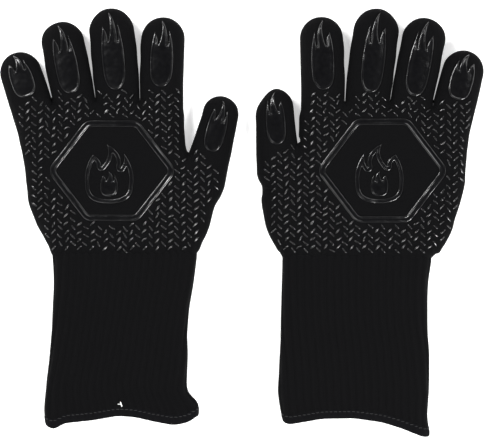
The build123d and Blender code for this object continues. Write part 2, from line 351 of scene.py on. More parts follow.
def thumb_depth(glove, u, v):
    """The right thumb's tip is pressed flat on its outer side."""
    depth = glove.thumb.depth(u, v)
    if glove.side == "right":
        start, end = np.array(THUMB_SLANT)
        along = (end - start) / np.linalg.norm(end - start)
        inside = (v - start[1]) * along[0] - (u - start[0]) * along[1]
        depth = soft_min(depth, inside, SLANT_ROUND)
    return depth


def thumb_field(glove):
    def field(u, v, z):
        body = pillow(thumb_depth(glove, u, v), z, glove.thumb.tip_radius, CLOTH_HEIGHT)
        return body - RIPPLE_HEIGHT * ripples(u, v, z)
    return field


for glove in gloves:
    tip_depth = float(thumb_depth(glove, *glove.thumb.tip))
    print(glove.side, "thumb, half its width at the tip", round(tip_depth, 1), "mm")

# %% [markdown]
# ## Field of the hand
# The hand is the palm with all five digits melted into it. Near a cut between two pieces the soft
# minimum fades to a sharp one: there the hand and the finger are the same surface, and the cut cannot
# be seen. The melt also fades towards the table, so that nothing bulges through it, and the cloth is
# tucked in and gathered where the ribbed cuff grips the wrist.

# %% Hand field
KNUCKLE_CUT = 4.5
THUMB_CUT = 8.5
STUB_OVERLAP = 5.0
PALM_REACH = 21.0
PALM_RIPPLE = 1.6
MELT = 0.3
THUMB_MELT = 1.4
MELT_RISE = 8.0
LEAST_LIFT = 0.02
MELT_FADE = 14.0
CUT_MELT = 0.01
TUCK_START = -1.0
TUCK_LENGTH = 7.0
TUCK_IN = 1.6
TUCK_DOWN = 1.8
GATHER_AT = -3.0
GATHER_REACH = 13.0
GATHER_DEPTH = 0.35
GATHER_PITCH = 6.3


def hand_field(glove):
    knuckle_cut = glove.fingers["index"].knuckle_v - KNUCKLE_CUT
    thumb = thumb_field(glove)
    fingers = [finger_field(glove, name) for name in FINGERS]

    def field(u, v, z):
        tuck = np.clip((TUCK_START - v) / TUCK_LENGTH, 0, 1) ** 2
        near_wrist = np.clip(1 - np.abs(v - GATHER_AT) / GATHER_REACH, 0, 1)
        gather = np.cos(2 * math.pi * u / GATHER_PITCH) * near_wrist * GATHER_DEPTH
        depth = outline_depth(glove.palm_line, u, v) - TUCK_IN * tuck + gather
        palm = pillow(depth, z, PALM_REACH, CLOTH_HEIGHT - TUCK_DOWN * tuck + gather)
        whole = palm - RIPPLE_HEIGHT * PALM_RIPPLE * ripples(u, v, z)
        lifted = np.clip(z / MELT_RISE, LEAST_LIFT, 1)
        melt = MELT * lifted * np.clip((knuckle_cut - v) / MELT_FADE, CUT_MELT, 1)
        for finger in fingers:
            whole = soft_min(whole, finger(u, v, z), melt)
        outward = thumb_outward(glove, u, v)
        stub = np.maximum(thumb(u, v, z), (outward + THUMB_CUT - STUB_OVERLAP) / CLOTH_HEIGHT)
        fade = np.clip((-THUMB_CUT - outward) / MELT_FADE, CUT_MELT, 1)
        return soft_min(whole, stub, THUMB_MELT * MELT * lifted * fade)
    return field


for glove in gloves:
    heights = hand_field(glove)(np.zeros(3), np.array([40.0, 60.0, 80.0]), np.full(3, 18.0))
    print(glove.side, "palm field just under the top", np.round(heights, 3))

# %% [markdown]
# ## From field to skin
# The field is sampled on a grid, and every cell that the surface passes through gets one point, joined
# to its neighbours by quads. This is the surface nets way. Blender's metaballs melt shapes together
# in the same spirit, but they can't be given the section of a flat bag. Quads of one size bend well.

# %% Surface nets
def cell_points(values, steps, low):
    """One point in each cell that the surface crosses, and the cells' numbers."""
    cells = np.array(values.shape) - 1
    total, count = np.zeros((*cells, 3)), np.zeros(cells)
    for axis in range(3):
        turned = np.moveaxis(values, axis, 0)
        near, far = turned[:-1], turned[1:]
        crossed = (near < 0) != (far < 0)
        share = np.where(crossed, near / np.where(crossed, near - far, 1), 0)
        sums, counts = np.moveaxis(total, axis, 0), np.moveaxis(count, axis, 0)
        others = [other for other in range(3) if other != axis]
        for j in (0, 1):
            for k in (0, 1):
                window = (slice(None), slice(j, j + cells[others[0]]), slice(k, k + cells[others[1]]))
                hit = crossed[window]
                counts += hit
                sums[..., axis] += share[window]
                sums[..., others[0]] += hit * j
                sums[..., others[1]] += hit * k
    number = np.full(cells, -1)
    used = np.argwhere(count > 0)
    number[tuple(used.T)] = np.arange(len(used))
    mean = total[tuple(used.T)] / count[tuple(used.T)][:, None]
    return (used + mean) * steps + low, number


def cell_quads(values, number):
    """A quad round each grid edge that the surface crosses, wound to face outwards."""
    quads = []
    for axis in range(3):
        turned = np.moveaxis(values, axis, 0)
        near, far = turned[:-1], turned[1:]
        crossed = ((near < 0) != (far < 0))[:, 1:-1, 1:-1]
        i, j, k = np.nonzero(crossed)
        cell = np.moveaxis(number, axis, 0)
        quad = np.stack([cell[i, j, k], cell[i, j + 1, k], cell[i, j + 1, k + 1], cell[i, j, k + 1]], 1)
        outwards = (near[:, 1:-1, 1:-1][crossed] < 0) != (axis == 1)
        quads.append(np.where(outwards[:, None], quad, quad[:, ::-1]))
    return np.concatenate(quads)


print("surface nets ready: one point a cell, one quad an edge")

# %% [markdown]
# ## Skins and cuts
# A net alone is slightly lumpy, because its points are averages. Two Newton steps pull each one onto
# the true surface: the field says how far off the point is, and its slope says which way to go. The
# cut that follows parts one skin from the next along a plane. A ball of known size tests the way.

# %% Skins
NEWTON_STEPS = 2
SLOPE_NUDGE = 0.05
LEAST_SLOPE = 1e-4
LONGEST_MOVE = 0.6
TEST_RADIUS = 5.0


def skin_points(field, low, high, steps):
    """Points and quads of the surface where the field is zero."""
    low, steps = np.array(low, float), np.array(steps, float)
    axes = [np.arange(a, b + s, s) for a, b, s in zip(low, high, steps)]
    values = field(*np.meshgrid(*axes, indexing="ij"))
    points, number = cell_points(values, steps, low)
    quads = cell_quads(values, number)
    for _ in range(NEWTON_STEPS):
        here = field(*points.T)
        slope = np.stack([(field(*(points + SLOPE_NUDGE * way).T) - here) / SLOPE_NUDGE
                          for way in np.eye(3)], 1)
        move = -here[:, None] * slope / np.maximum((slope ** 2).sum(1), LEAST_SLOPE)[:, None]
        points = points + np.clip(move, -LONGEST_MOVE * steps, LONGEST_MOVE * steps)
    return points, quads


def flat_mesh(name, points, faces):
    mesh = bpy.data.meshes.new(name)
    mesh.from_pydata(np.asarray(points).tolist(), [], [list(map(int, face)) for face in faces])
    mesh.validate()
    return mesh


def cut(mesh, point, normal, keep_only=None):
    """Takes away what lies on the normal's side of a plane, among the faces that keep_only allows."""
    shape = bmesh.new()
    shape.from_mesh(mesh)
    faces = [f for f in shape.faces if keep_only is None or keep_only(f.calc_center_median())]
    geometry = list({v for f in faces for v in f.verts}) + list({e for f in faces for e in f.edges}) + faces
    bmesh.ops.bisect_plane(shape, geom=geometry, plane_co=point, plane_no=normal, clear_outer=True,
                           dist=1e-5)
    loose = [v for v in shape.verts if not v.link_faces]
    bmesh.ops.delete(shape, geom=loose, context="VERTS")
    shape.to_mesh(mesh)
    shape.free()
    return mesh


ball, _ = skin_points(lambda x, y, z: np.sqrt(x * x + y * y + z * z) - TEST_RADIUS,
                      (-7, -7, -7), (7, 7, 7), (1, 1, 1))
off = np.abs(np.linalg.norm(ball, axis=1) - TEST_RADIUS).max()
print("test ball:", len(ball), "points, off by at most", round(float(off), 4), "mm")

# %% [markdown]
# ## Walls, maps and pieces
# A skin is only a surface. The knit wall is two millimetres thick and a cotton lining lies inside it,
# so each layer is the skin moved in along its normals, closed by a rim. Each layer carries a map named
# "cloth", in metres across and along the piece, which the knit pattern follows later.

# %% Layer helpers
KNIT_WALL = 2.0
LINING_GAP = 0.2
LINING_WALL = 1.1
SIDE_BLEND = 4.0
RIM_ANGLE = math.radians(55)


def read_points(mesh):
    points = np.zeros(len(mesh.vertices) * 3)
    mesh.vertices.foreach_get("co", points)
    return points.reshape(-1, 3)


def read_normals(mesh):
    normals = np.zeros(len(mesh.vertices) * 3)
    mesh.vertex_normals.foreach_get("vector", normals)
    return normals.reshape(-1, 3)


def cloth_map(points, centre):
    """(across, along) in millimetres. Across runs on over the side walls, so nothing smears."""
    offset = points[:, 0] - centre(points[:, 1])
    wall = np.maximum(0, np.minimum(points[:, 2], CLOTH_HEIGHT - points[:, 2]))
    return np.stack([offset + np.clip(offset / SIDE_BLEND, -1, 1) * wall, points[:, 1]], 1)


def write_map(mesh, values):
    layer = mesh.uv_layers.new(name="cloth")
    corners = np.zeros(len(mesh.loops), int)
    mesh.loops.foreach_get("vertex_index", corners)
    layer.data.foreach_set("uv", (values[corners] * MM).ravel())


def layer_mesh(name, skin, near, far, centre):
    """A closed layer of cloth between two depths under a skin."""
    points, normals, count = read_points(skin), read_normals(skin), len(skin.vertices)
    faces = [list(face.vertices) for face in skin.polygons]
    sides = {(a, b) for face in faces for a, b in zip(face, face[1:] + face[:1])}
    rim = [(b, a, a + count, b + count) for a, b in sorted(sides) if (b, a) not in sides]
    inner = [[i + count for i in reversed(face)] for face in faces]
    mesh = flat_mesh(name, np.vstack([points - normals * near, points - normals * far]),
                     faces + inner + rim)
    values = cloth_map(points, centre)
    write_map(mesh, np.vstack([values, values]))
    return mesh


def put(name, glove, mesh, material):
    """The mesh as an object of the scene, in metres, in the frame's place."""
    points = read_points(mesh)
    points[:, 0] = glove.x + glove.thumb_sign * points[:, 0]
    points[:, 1] += glove.y
    mesh.vertices.foreach_set("co", (points * MM).ravel())
    if glove.thumb_sign < 0:
        mesh.flip_normals()
    mesh.update()
    mesh.shade_smooth()
    mesh.set_sharp_from_angle(angle=RIM_ANGLE)
    mesh.materials.clear()
    mesh.materials.append(material)
    mesh.name = name
    piece = bpy.data.objects.new(name, mesh)
    bpy.context.scene.collection.objects.link(piece)
    return piece


print("knit", KNIT_WALL, "mm, then a gap of", LINING_GAP, "mm, then lining to", KNIT_WALL + LINING_WALL, "mm")

# %% [markdown]
# ## Shader maths in plain Python
# A knit pattern is arithmetic on the cloth map. Wiring Math nodes by hand is slow to read, so a small
# class wraps a socket: adding or multiplying two of them adds the node. Anything else goes through one
# method that makes a node, sets it up, and then connects it.

# %% Shader helper
class Thread:
    """A socket of a node tree. Python maths on it makes Math nodes."""

    def __init__(self, tree, socket=None):
        self.tree, self.socket = tree, socket

    def node(self, kind, settings=None, inputs=None, output=0):
        made = self.tree.nodes.new(kind)
        for name, value in (settings or {}).items():
            if name == "stops":
                for stop, (place, shade) in zip(self.stops(made, len(value)), value):
                    stop.position, stop.color = place, (shade, shade, shade, 1)
            else:
                setattr(made, name, value)
        for key, value in (inputs or {}).items():
            if isinstance(value, Thread):
                self.tree.links.new(value.socket, made.inputs[key])
            else:
                made.inputs[key].default_value = value
        return Thread(self.tree, made.outputs[output])

    def stops(self, ramp, count):
        while len(ramp.color_ramp.elements) < count:
            ramp.color_ramp.elements.new(1)
        return ramp.color_ramp.elements

    def math(self, operation, first, second=0.0):
        return self.node("ShaderNodeMath", {"operation": operation}, {0: first, 1: second})

    def __add__(self, other):
        return self.math("ADD", self, other)

    def __radd__(self, other):
        return self.math("ADD", other, self)

    def __sub__(self, other):
        return self.math("SUBTRACT", self, other)

    def __rsub__(self, other):
        return self.math("SUBTRACT", other, self)

    def __mul__(self, other):
        return self.math("MULTIPLY", self, other)

    def __rmul__(self, other):
        return self.math("MULTIPLY", other, self)

    def __truediv__(self, other):
        return self.math("DIVIDE", self, other)

    def wave(self):
        return self.math("COSINE", self * (2 * math.pi))

    def fraction(self):
        return self.math("FRACT", self)

    def size(self):
        return self.math("ABSOLUTE", self)


print("a thread can add, subtract, multiply, divide, wave, take a fraction and drop its sign")

# %% [markdown]
# ## Starting a finish
# Every finish starts the same way: an empty material, a roughness, a blend of two close colours and
# some noise to blend them by. These few helpers keep the recipes that follow short.

# %% Finish helpers
def new_material(name, roughness):
    """An empty finish: its tree's start, and its main shader."""
    material = bpy.data.materials.new(name)
    material.use_nodes = True
    shader = material.node_tree.nodes["Principled BSDF"]
    shader.inputs["Roughness"].default_value = roughness
    return material, Thread(material.node_tree), shader


def feed(start, shader, socket, value):
    start.tree.links.new(value.socket, shader.inputs[socket])


def blend_colours(start, factor, dark, light):
    return start.node("ShaderNodeMix", {"data_type": "RGBA"}, {0: factor, 6: (*dark, 1), 7: (*light, 1)},
                      output=2)


def noise(start, where, scale, detail=2.0):
    return start.node("ShaderNodeTexNoise", None, {"Vector": where, "Scale": scale, "Detail": detail})


print("materials before the first finish", len(bpy.data.materials))

# %% [markdown]
# ## Knitted cloth
# Fine machine knit is columns of small V-shaped stitches. Across each column the yarn rises twice, and
# the rows slope away from its middle, which makes the V. The same pattern at other sizes gives the
# cuff's ribbing, the hem band and the cotton lining, so one function makes all four. Loose fibre gives
# the grey cotton a faint sheen, set on the shader itself because it is the same everywhere. The black
# yarn has none, because sheen would turn it grey.

# %% Knit finishes
FIBRE_SCALE = 2400.0
PATCH_SCALE = 38.0
ROW_SLOPE = 1.3
BUMP_SHARE = 0.35


def knit_finish(name, dark, light, column, row, sheen, strength, fuzz):
    material, start, shader = new_material(name, 0.85)
    cloth = start.node("ShaderNodeUVMap", {"uv_map": "cloth"})
    across = start.node("ShaderNodeSeparateXYZ", None, {0: cloth}) / column
    along = start.node("ShaderNodeSeparateXYZ", None, {0: cloth}, output=1) / row
    off = (across.fraction() - 0.5).size()
    leg = (off * 2 - 0.5).wave() * 0.5 + 0.5
    loop = (along + off * ROW_SLOPE).wave() * 0.5 + 0.5
    fibre = noise(start, cloth, FIBRE_SCALE, 3.0)
    patch = noise(start, start.node("ShaderNodeTexCoord", output=3), PATCH_SCALE)
    stitch = leg * (loop * 0.6 + 0.4)
    height = stitch + fibre * fuzz
    # Base colour: the stitch term is painted shade, lighter on the raised yarn and darker in the gaps between
    # loops; the fibre and patch noise are the yarn's own uneven tone.
    shade = stitch * 0.45 + fibre * 0.35 + patch * 0.35 - 0.1
    feed(start, shader, "Base Color", blend_colours(start, shade, dark, light))
    feed(start, shader, "Roughness", 0.78 + patch * 0.18)
    bump = start.node("ShaderNodeBump", None, {"Strength": strength, "Distance": column * BUMP_SHARE,
                                               "Height": height})
    feed(start, shader, "Normal", bump)
    shader.inputs["Sheen Weight"].default_value = sheen
    shader.inputs["Sheen Roughness"].default_value = 0.45
    shader.inputs["Specular IOR Level"].default_value = 0.08
    return material


finishes = {
    "aramid_knit": knit_finish("aramid_knit", (0.0006, 0.0006, 0.0008), (0.0042, 0.0042, 0.0048),
                               0.0015, 0.0012, 0.0, 0.55, 0.5),
    "ribbed_knit": knit_finish("ribbed_knit", (0.0006, 0.0006, 0.0008), (0.0048, 0.0048, 0.0054),
                               0.0016, 0.0014, 0.0, 0.6, 0.5),
    "cotton_lining": knit_finish("cotton_lining", (0.03, 0.03, 0.032), (0.06, 0.06, 0.062),
                                 0.0021, 0.0017, 0.2, 0.5, 1.2),
    "hem_band": knit_finish("hem_band", (0.0009, 0.0009, 0.0012), (0.0052, 0.0052, 0.0064),
                            0.0009, 0.0009, 0.0, 0.4, 0.3),
}
print("cloth finishes", sorted(finishes))

# %% [markdown]
# ## Silicone, thread and nylon
# Printed silicone is black and satin: mostly smooth, with slight flow marks that break up the light.
# The hem's sewing thread is dull, and the tag's barb is a milky nylon.

# %% Other finishes
def smooth_finish(name, dark, light, gloss, spread, coat, mark_scale, flow=0.0):
    material, start, shader = new_material(name, gloss)
    where = start.node("ShaderNodeTexCoord", output=3)
    marks = noise(start, where, mark_scale, 3.0)
    feed(start, shader, "Base Color", blend_colours(start, marks, dark, light))
    feed(start, shader, "Roughness", gloss + (marks - 0.5) * spread)
    bump = start.node("ShaderNodeBump", None, {"Strength": 0.25, "Distance": 0.0002, "Height": marks})
    if flow:
        waves = noise(start, where, mark_scale * 0.55, 1.0)
        bump = start.node("ShaderNodeBump", None, {"Strength": 1.0, "Distance": flow, "Height": waves,
                                                   "Normal": bump})
    feed(start, shader, "Normal", bump)
    shader.inputs["Coat Weight"].default_value = coat
    shader.inputs["Coat Roughness"].default_value = 0.12
    return material


finishes["silicone"] = smooth_finish("silicone", (0.0014, 0.0014, 0.0018), (0.0032, 0.0032, 0.0038),
                                     0.2, 0.1, 0.3, 260.0, 0.0004)
finishes["sewing_thread"] = smooth_finish("sewing_thread", (0.004, 0.004, 0.0045), (0.012, 0.012, 0.013),
                                          0.6, 0.2, 0.0, 3000.0)
finishes["tag_nylon"] = smooth_finish("tag_nylon", (0.72, 0.72, 0.7), (0.86, 0.86, 0.85),
                                      0.4, 0.2, 0.1, 900.0)
print("finishes", len(finishes))

# %% [markdown]
# ## Knitted hands
# The hand is one seamless knit from the wrist to the roots of the fingers. Its skin is cut straight
# across at the knuckles and on the thumb's slanting fold, where the digits carry on. A coarser skin is
# enough for the hidden lining.

# %% Hand pieces
SKIN_STEP = 1.7
LINING_STEP = 3.2
WRIST_EDGE = -7.5
PALM_CENTRE = -5.0
PALM_MARGIN = 14
THUMB_ROOM = 8
FIELD_LOW = -3
FIELD_HIGH = 24
THUMB_SIDE = -1.2
THUMB_SIDE_REACH = 4


def palm_centre(v):
    """The palm's middle is the same at every v, unlike a digit's."""
    return PALM_CENTRE


def hand_skin(glove, step):
    low, high = glove.palm_line.min(0) - PALM_MARGIN, glove.palm_line.max(0) + PALM_MARGIN
    points, quads = skin_points(hand_field(glove), (low[0], low[1], FIELD_LOW),
                                (high[0] + THUMB_ROOM, high[1], FIELD_HIGH), (step, step, step))
    mesh = flat_mesh("hand", points, quads)
    knuckle_cut = glove.fingers["index"].knuckle_v - KNUCKLE_CUT
    cut(mesh, (0, knuckle_cut, 0), (0, 1, 0))
    cut(mesh, (0, WRIST_EDGE, 0), (0, -1, 0))
    thumb = glove.thumb
    plane = thumb.centre - THUMB_CUT * thumb.outward

    def on_thumb(centre):
        u, v = centre[:2]
        outward = thumb_outward(glove, u, v)
        return thumb_depth(glove, u, v) > THUMB_SIDE and outward > -THUMB_CUT - THUMB_SIDE_REACH

    return cut(mesh, (*plane, 0), (*thumb.outward, 0), on_thumb)


for glove in gloves:
    skin = hand_skin(glove, SKIN_STEP)
    knit = put(glove.node("hand_knit"), glove, layer_mesh("knit", skin, 0, KNIT_WALL, palm_centre),
               finishes["aramid_knit"])
    coarse = hand_skin(glove, LINING_STEP)
    lining = put(glove.node("hand_lining"), glove,
                 layer_mesh("lining", coarse, KNIT_WALL + LINING_GAP, KNIT_WALL + LINING_WALL, palm_centre),
                 finishes["cotton_lining"])
    for piece, node in ((knit, "hand_shell"), (lining, "hand_liner")):
        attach(piece, glove.node("hand"))
        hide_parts(glove.node(node))
    print(glove.side, "hand faces", len(knit.data.polygons), "lining faces", len(lining.data.polygons))

# %% [markdown]
# ## Where the digits bend
# Each finger folds twice, so it is two pieces: a root piece for the knuckle and an end piece for the
# middle joint. The helpers below work out where each turn starts and ends, a centimetre or two apart,
# as cloth turns over a real knuckle, and the two pieces meet where neither turn runs. Then they only
# bake each piece's place into its mesh; nothing here ties a piece to its joint.

# %% Digit bends
KNUCKLE_TURN = 12.0
BEND_TURNS = {"pinky": 6.0, "ring": 10.0, "middle": 10.0, "index": 10.0}
THUMB_TURN = 18.0


def bend_start(finger):
    """Where the middle joint's turn starts, and where the finger's two pieces meet."""
    return finger.bend_v - BEND_TURNS[finger.name]


def knuckle_blend(glove, piece, finger):
    start = finger.knuckle_v - KNUCKLE_CUT
    end = min(finger.knuckle_v + KNUCKLE_TURN, bend_start(finger))
    glove.node("hand")
    glove.node(f"{finger.name}_root")
    glove.point(0, start)
    glove.point(0, end)
    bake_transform(piece)


def bend_blend(glove, piece, finger):
    glove.node(f"{finger.name}_root")
    glove.node(f"{finger.name}_end")
    glove.point(0, bend_start(finger))
    glove.point(0, finger.bend_v + BEND_TURNS[finger.name])
    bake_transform(piece)


def thumb_blend(glove, piece):
    start = glove.thumb.centre - THUMB_CUT * glove.thumb.outward
    glove.node("hand")
    glove.node("thumb")
    glove.point(*start)
    glove.point(*(start + THUMB_TURN * glove.thumb.outward))
    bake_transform(piece)


for glove in gloves:
    print(glove.side, "pieces meet at", {name: round(float(bend_start(finger)), 1)
                                         for name, finger in glove.fingers.items()})

# %% [markdown]
# ## Fingers and thumbs
# The knit and the lining of a finger are one skin each, cut where the root piece and the end piece
# meet. Both halves come from the same field, so their edges fit each other. A thumb folds only once
# and stays in one piece, cut from the hand along its slanting fold.

# %% Digit pieces
DIGIT_STEP = 1.4
DIGIT_MARGIN = 24
NO_CUT = 999


def digit_skin(digit, field, step):
    low = np.minimum(digit.root, digit.tip) - DIGIT_MARGIN
    high = np.maximum(digit.root, digit.tip) + DIGIT_MARGIN
    points, quads = skin_points(field, (*low, FIELD_LOW), (*high, FIELD_HIGH), (step, step, step))
    return flat_mesh("digit", points, quads)


def digit_layers(glove, name, skins, centre, bend):
    """The knit and the lining of one piece of a digit, each passed to the bend helper."""
    fine, coarse = skins
    knit = put(glove.node(f"{name}_knit"), glove, layer_mesh("knit", fine, 0, KNIT_WALL, centre),
               finishes["aramid_knit"])
    lining = put(glove.node(f"{name}_lining"), glove,
                 layer_mesh("lining", coarse, KNIT_WALL + LINING_GAP, KNIT_WALL + LINING_WALL, centre),
                 finishes["cotton_lining"])
    for piece, node in ((knit, f"{name}_shell"), (lining, f"{name}_liner")):
        bend(piece)
        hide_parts(glove.node(node))
    return len(knit.data.polygons)


for glove in gloves:
    for name in FINGERS:
        finger = glove.fingers[name]
        faces = []
        for part, low, high, bend in (
                ("root", finger.knuckle_v - KNUCKLE_CUT, bend_start(finger), knuckle_blend),
                ("end", bend_start(finger), NO_CUT, bend_blend)):
            skins = []
            for step in (DIGIT_STEP, LINING_STEP):
                skin = digit_skin(finger, finger_field(glove, name), step)
                skins.append(cut(cut(skin, (0, low, 0), (0, -1, 0)), (0, high, 0), (0, 1, 0)))
            faces.append(digit_layers(glove, f"{name}_{part}", skins, finger.across,
                                      lambda piece: bend(glove, piece, finger)))
        print(glove.side, name, "faces", faces)
    thumb = glove.thumb
    plane = thumb.centre - THUMB_CUT * thumb.outward
    skins = [cut(digit_skin(thumb, thumb_field(glove), step), (*plane, 0), (*(-thumb.outward), 0))
             for step in (DIGIT_STEP, LINING_STEP)]
    print(glove.side, "thumb faces", digit_layers(glove, "thumb", skins, thumb.across,
                                                  lambda piece: thumb_blend(glove, piece)))

# %% [markdown]
# ## Ribbed cuffs
# A ribbed cuff is a tube of upright ridges with narrow grooves between them. Rings of points are laid
# round the cuff from the wrist to the mouth, evenly by length, so every ridge keeps its own strip of
# points. The outer rings rise and fall with the ribs and the inner ones stay smooth. The ribs lean a
# little sideways, so that the tube doesn't look ruled.

# %% Cuff rings
RIBS = 42
POINTS_PER_RIB = 8
RIB_HEIGHT = 1.5
CUFF_TOP = 6.0
SIDE_POWER = 9
SECTION_POWER = 2.6
RING_SAMPLES = 4000
RIDGE_POWER = 0.55
RIB_DRIFT = 9.0
DRIFT_PLACES = [-120, -60, -10]
DRIFT_SHARES = [-0.5, 0.2, 0.5]
CUFF_MIDDLE = CLOTH_HEIGHT / 2 - 0.6
MOUTH_V = -150.0
MOUTH_START = -40
MOUTH_SAG = 0.35
SAG_PITCH = 17.0


def ring(glove, v, inset, ribs, height):
    """One ring of points round the cuff, v being a number that the mouth's line then bends."""
    pinky, thumb = glove.cuff_edge["pinky"](v), glove.cuff_edge["thumb"](v)
    half, middle = (thumb - pinky) / 2 - inset, (thumb + pinky) / 2
    fine = np.linspace(0, 2 * math.pi, RING_SAMPLES, endpoint=False)
    u = np.sign(np.cos(fine)) * np.abs(np.cos(fine)) ** (2 / SIDE_POWER) * half
    z = np.sign(np.sin(fine)) * np.abs(np.sin(fine)) ** (2 / SECTION_POWER) * (height - inset)
    length = np.concatenate([[0], np.cumsum(np.hypot(np.diff(u), np.diff(z)))])
    count = RIBS * POINTS_PER_RIB
    at = np.arange(count) / count * (length[-1] + math.hypot(u[0] - u[-1], z[0] - z[-1]))
    drift = RIB_DRIFT * np.interp(v, DRIFT_PLACES, DRIFT_SHARES)
    here = (at - drift) % length[-1]
    u, z = np.interp(here, length, u), np.interp(here, length, z)
    ahead = np.stack([np.roll(u, -1) - np.roll(u, 1), np.roll(z, -1) - np.roll(z, 1)], 1)
    ahead /= np.linalg.norm(ahead, axis=1)[:, None]
    ridge = np.abs(np.sin(math.pi * (np.arange(count) + 0.5) / POINTS_PER_RIB)) ** RIDGE_POWER
    out = ribs * (ridge - 0.5)
    return np.stack([middle + u + out * ahead[:, 1], np.full(count, float(v)),
                     CUFF_MIDDLE + z - out * ahead[:, 0]], 1), at


def bend_mouth(glove, points):
    """Rows follow the mouth's line more and more towards the mouth."""
    share = np.clip((MOUTH_START - points[:, 1]) / (MOUTH_START - MOUTH_V), 0, 1)
    shift = share * (glove.mouth(points[:, 0]) - MOUTH_V)
    sag = MOUTH_SAG * share * (1 + np.sin(points[:, 0] / SAG_PITCH + 1.0))
    return points + np.stack([0 * shift, shift, sag], 1)


print("points in a ring", RIBS * POINTS_PER_RIB, "ribs", RIBS)

# %% [markdown]
# ## Cuff walls
# A wall runs down the outside as rows of rings and comes back up inside, and the last row joins the
# first. So it is closed without any rim, and it needs no Solidify modifier. The knit and the lining
# are two such walls. Their wrist helper works out a turn a few centimetres long but only bakes their place.

# %% Cuff walls
CUFF_LINING_DEPTH = 1.3
RIB_ROWS = 76
LINING_ROWS = 50
HEIGHT_PLACES = [-150, -120, -60, -20, -8, 0, 10]
HALF_HEIGHTS = [7.7, 7.7, 8.0, 8.1, 8.0, 7.2, 6.6]
WRIST_TURN = (-3, -35)


def tube_mesh(name, glove, rows, distances, centre_along):
    """Rows of points joined into a wall that closes both ways."""
    count, length = len(rows[0]), len(rows)
    points = bend_mouth(glove, np.concatenate(rows))
    r, i = np.meshgrid(np.arange(length), np.arange(count), indexing="ij")
    a, b = r * count + i, r * count + (i + 1) % count
    c, d = (r + 1) % length * count + (i + 1) % count, (r + 1) % length * count + i
    mesh = flat_mesh(name, points, np.stack([a, d, c, b], -1).reshape(-1, 4))
    write_map(mesh, np.stack([np.concatenate(distances), np.concatenate(centre_along)], 1))
    return mesh


def cuff_wall(name, glove, lows, outer, inner, ribs):
    """A wall from the top row to the mouth and back up inside."""
    down = [ring(glove, v, outer, ribs, height) for v, height in lows]
    back = [ring(glove, v, inner, 0.0, height) for v, height in reversed(lows)]
    rows, distances = [r for r, _ in down + back], [d for _, d in down + back]
    return tube_mesh(name, glove, rows, distances, [row[:, 1] for row in rows])


def cuff_height(v):
    """Half the cuff's height: slimmest inside the hand, and a little flatter towards the mouth."""
    return float(np.interp(v, HEIGHT_PLACES, HALF_HEIGHTS))


def wrist_blend(glove, piece):
    glove.node("hand")
    glove.node("cuff")
    glove.point(0, WRIST_TURN[0])
    glove.point(0, WRIST_TURN[1])
    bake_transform(piece)


for glove in gloves:
    rib_rows = [(v, cuff_height(v)) for v in np.linspace(CUFF_TOP, MOUTH_V + 3, RIB_ROWS)]
    lining_rows = [(v, cuff_height(v)) for v in np.linspace(CUFF_TOP - 2, MOUTH_V + 5, LINING_ROWS)]
    rib = put(glove.node("cuff_ribbing"), glove, cuff_wall("rib", glove, rib_rows, 0, KNIT_WALL, RIB_HEIGHT),
              finishes["ribbed_knit"])
    lining = put(glove.node("cuff_lining"), glove,
                 cuff_wall("lining", glove, lining_rows, KNIT_WALL + LINING_GAP,
                           KNIT_WALL + CUFF_LINING_DEPTH, 0.0),
                 finishes["cotton_lining"])
    for piece, node in ((rib, "cuff_rib"), (lining, "cuff_liner")):
        wrist_blend(glove, piece)
        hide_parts(glove.node(node))
    print(glove.side, "cuff faces", len(rib.data.polygons), "lining faces", len(lining.data.polygons))

# %% [markdown]
# ## Folded hem
# The mouth is finished with a band folded over the edge and sewn through. Its section is a flat loop,
# swept round the cuff, with small puckers where the thread pulls it in.

# %% Hem band
HEM_LENGTH = 9.0
HEM_PROFILE_POINTS = 18
HEM_HALF_THICK = 1.9
HEM_INSET = 1.0
PUCKER_PITCH = 7.0
PUCKER_HEIGHT = 0.22


def hem_mesh(glove):
    rows, distances = [], []
    for step in range(HEM_PROFILE_POINTS):
        turn = 2 * math.pi * step / HEM_PROFILE_POINTS
        drop = math.copysign(abs(math.cos(turn)) ** 0.45, math.cos(turn)) * HEM_LENGTH / 2
        side = math.copysign(abs(math.sin(turn)) ** 0.8, math.sin(turn)) * HEM_HALF_THICK
        v = MOUTH_V + HEM_LENGTH / 2 + drop
        row, at = ring(glove, v, HEM_INSET - side, 0.0, cuff_height(v))
        pucker = PUCKER_HEIGHT * np.sin(2 * math.pi * at / PUCKER_PITCH) * (side > 0)
        row[:, 2] += pucker * np.sign(row[:, 2] - CLOTH_HEIGHT / 2)
        rows.append(row)
        distances.append(at)
    along = [row[:, 1] + 3 * step / HEM_PROFILE_POINTS for step, row in enumerate(rows)]
    return tube_mesh("hem", glove, rows, distances, along)


for glove in gloves:
    hem = put(glove.node("hem_band"), glove, hem_mesh(glove), finishes["hem_band"])
    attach(hem, glove.node("cuff"))
    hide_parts(glove.node("cuff_hem"))
    print(glove.side, "hem faces", len(hem.data.polygons))

# %% [markdown]
# ## Silicone relief
# The printing stands about a millimetre above the knit and follows every dip of it. Each print is
# drawn as an outline, and its height depends on the distance from that outline: a rounded edge, a
# slightly raised lip, and a lower middle. The relief is netted flat, in height above the cloth, and
# then laid on the skin's own height.

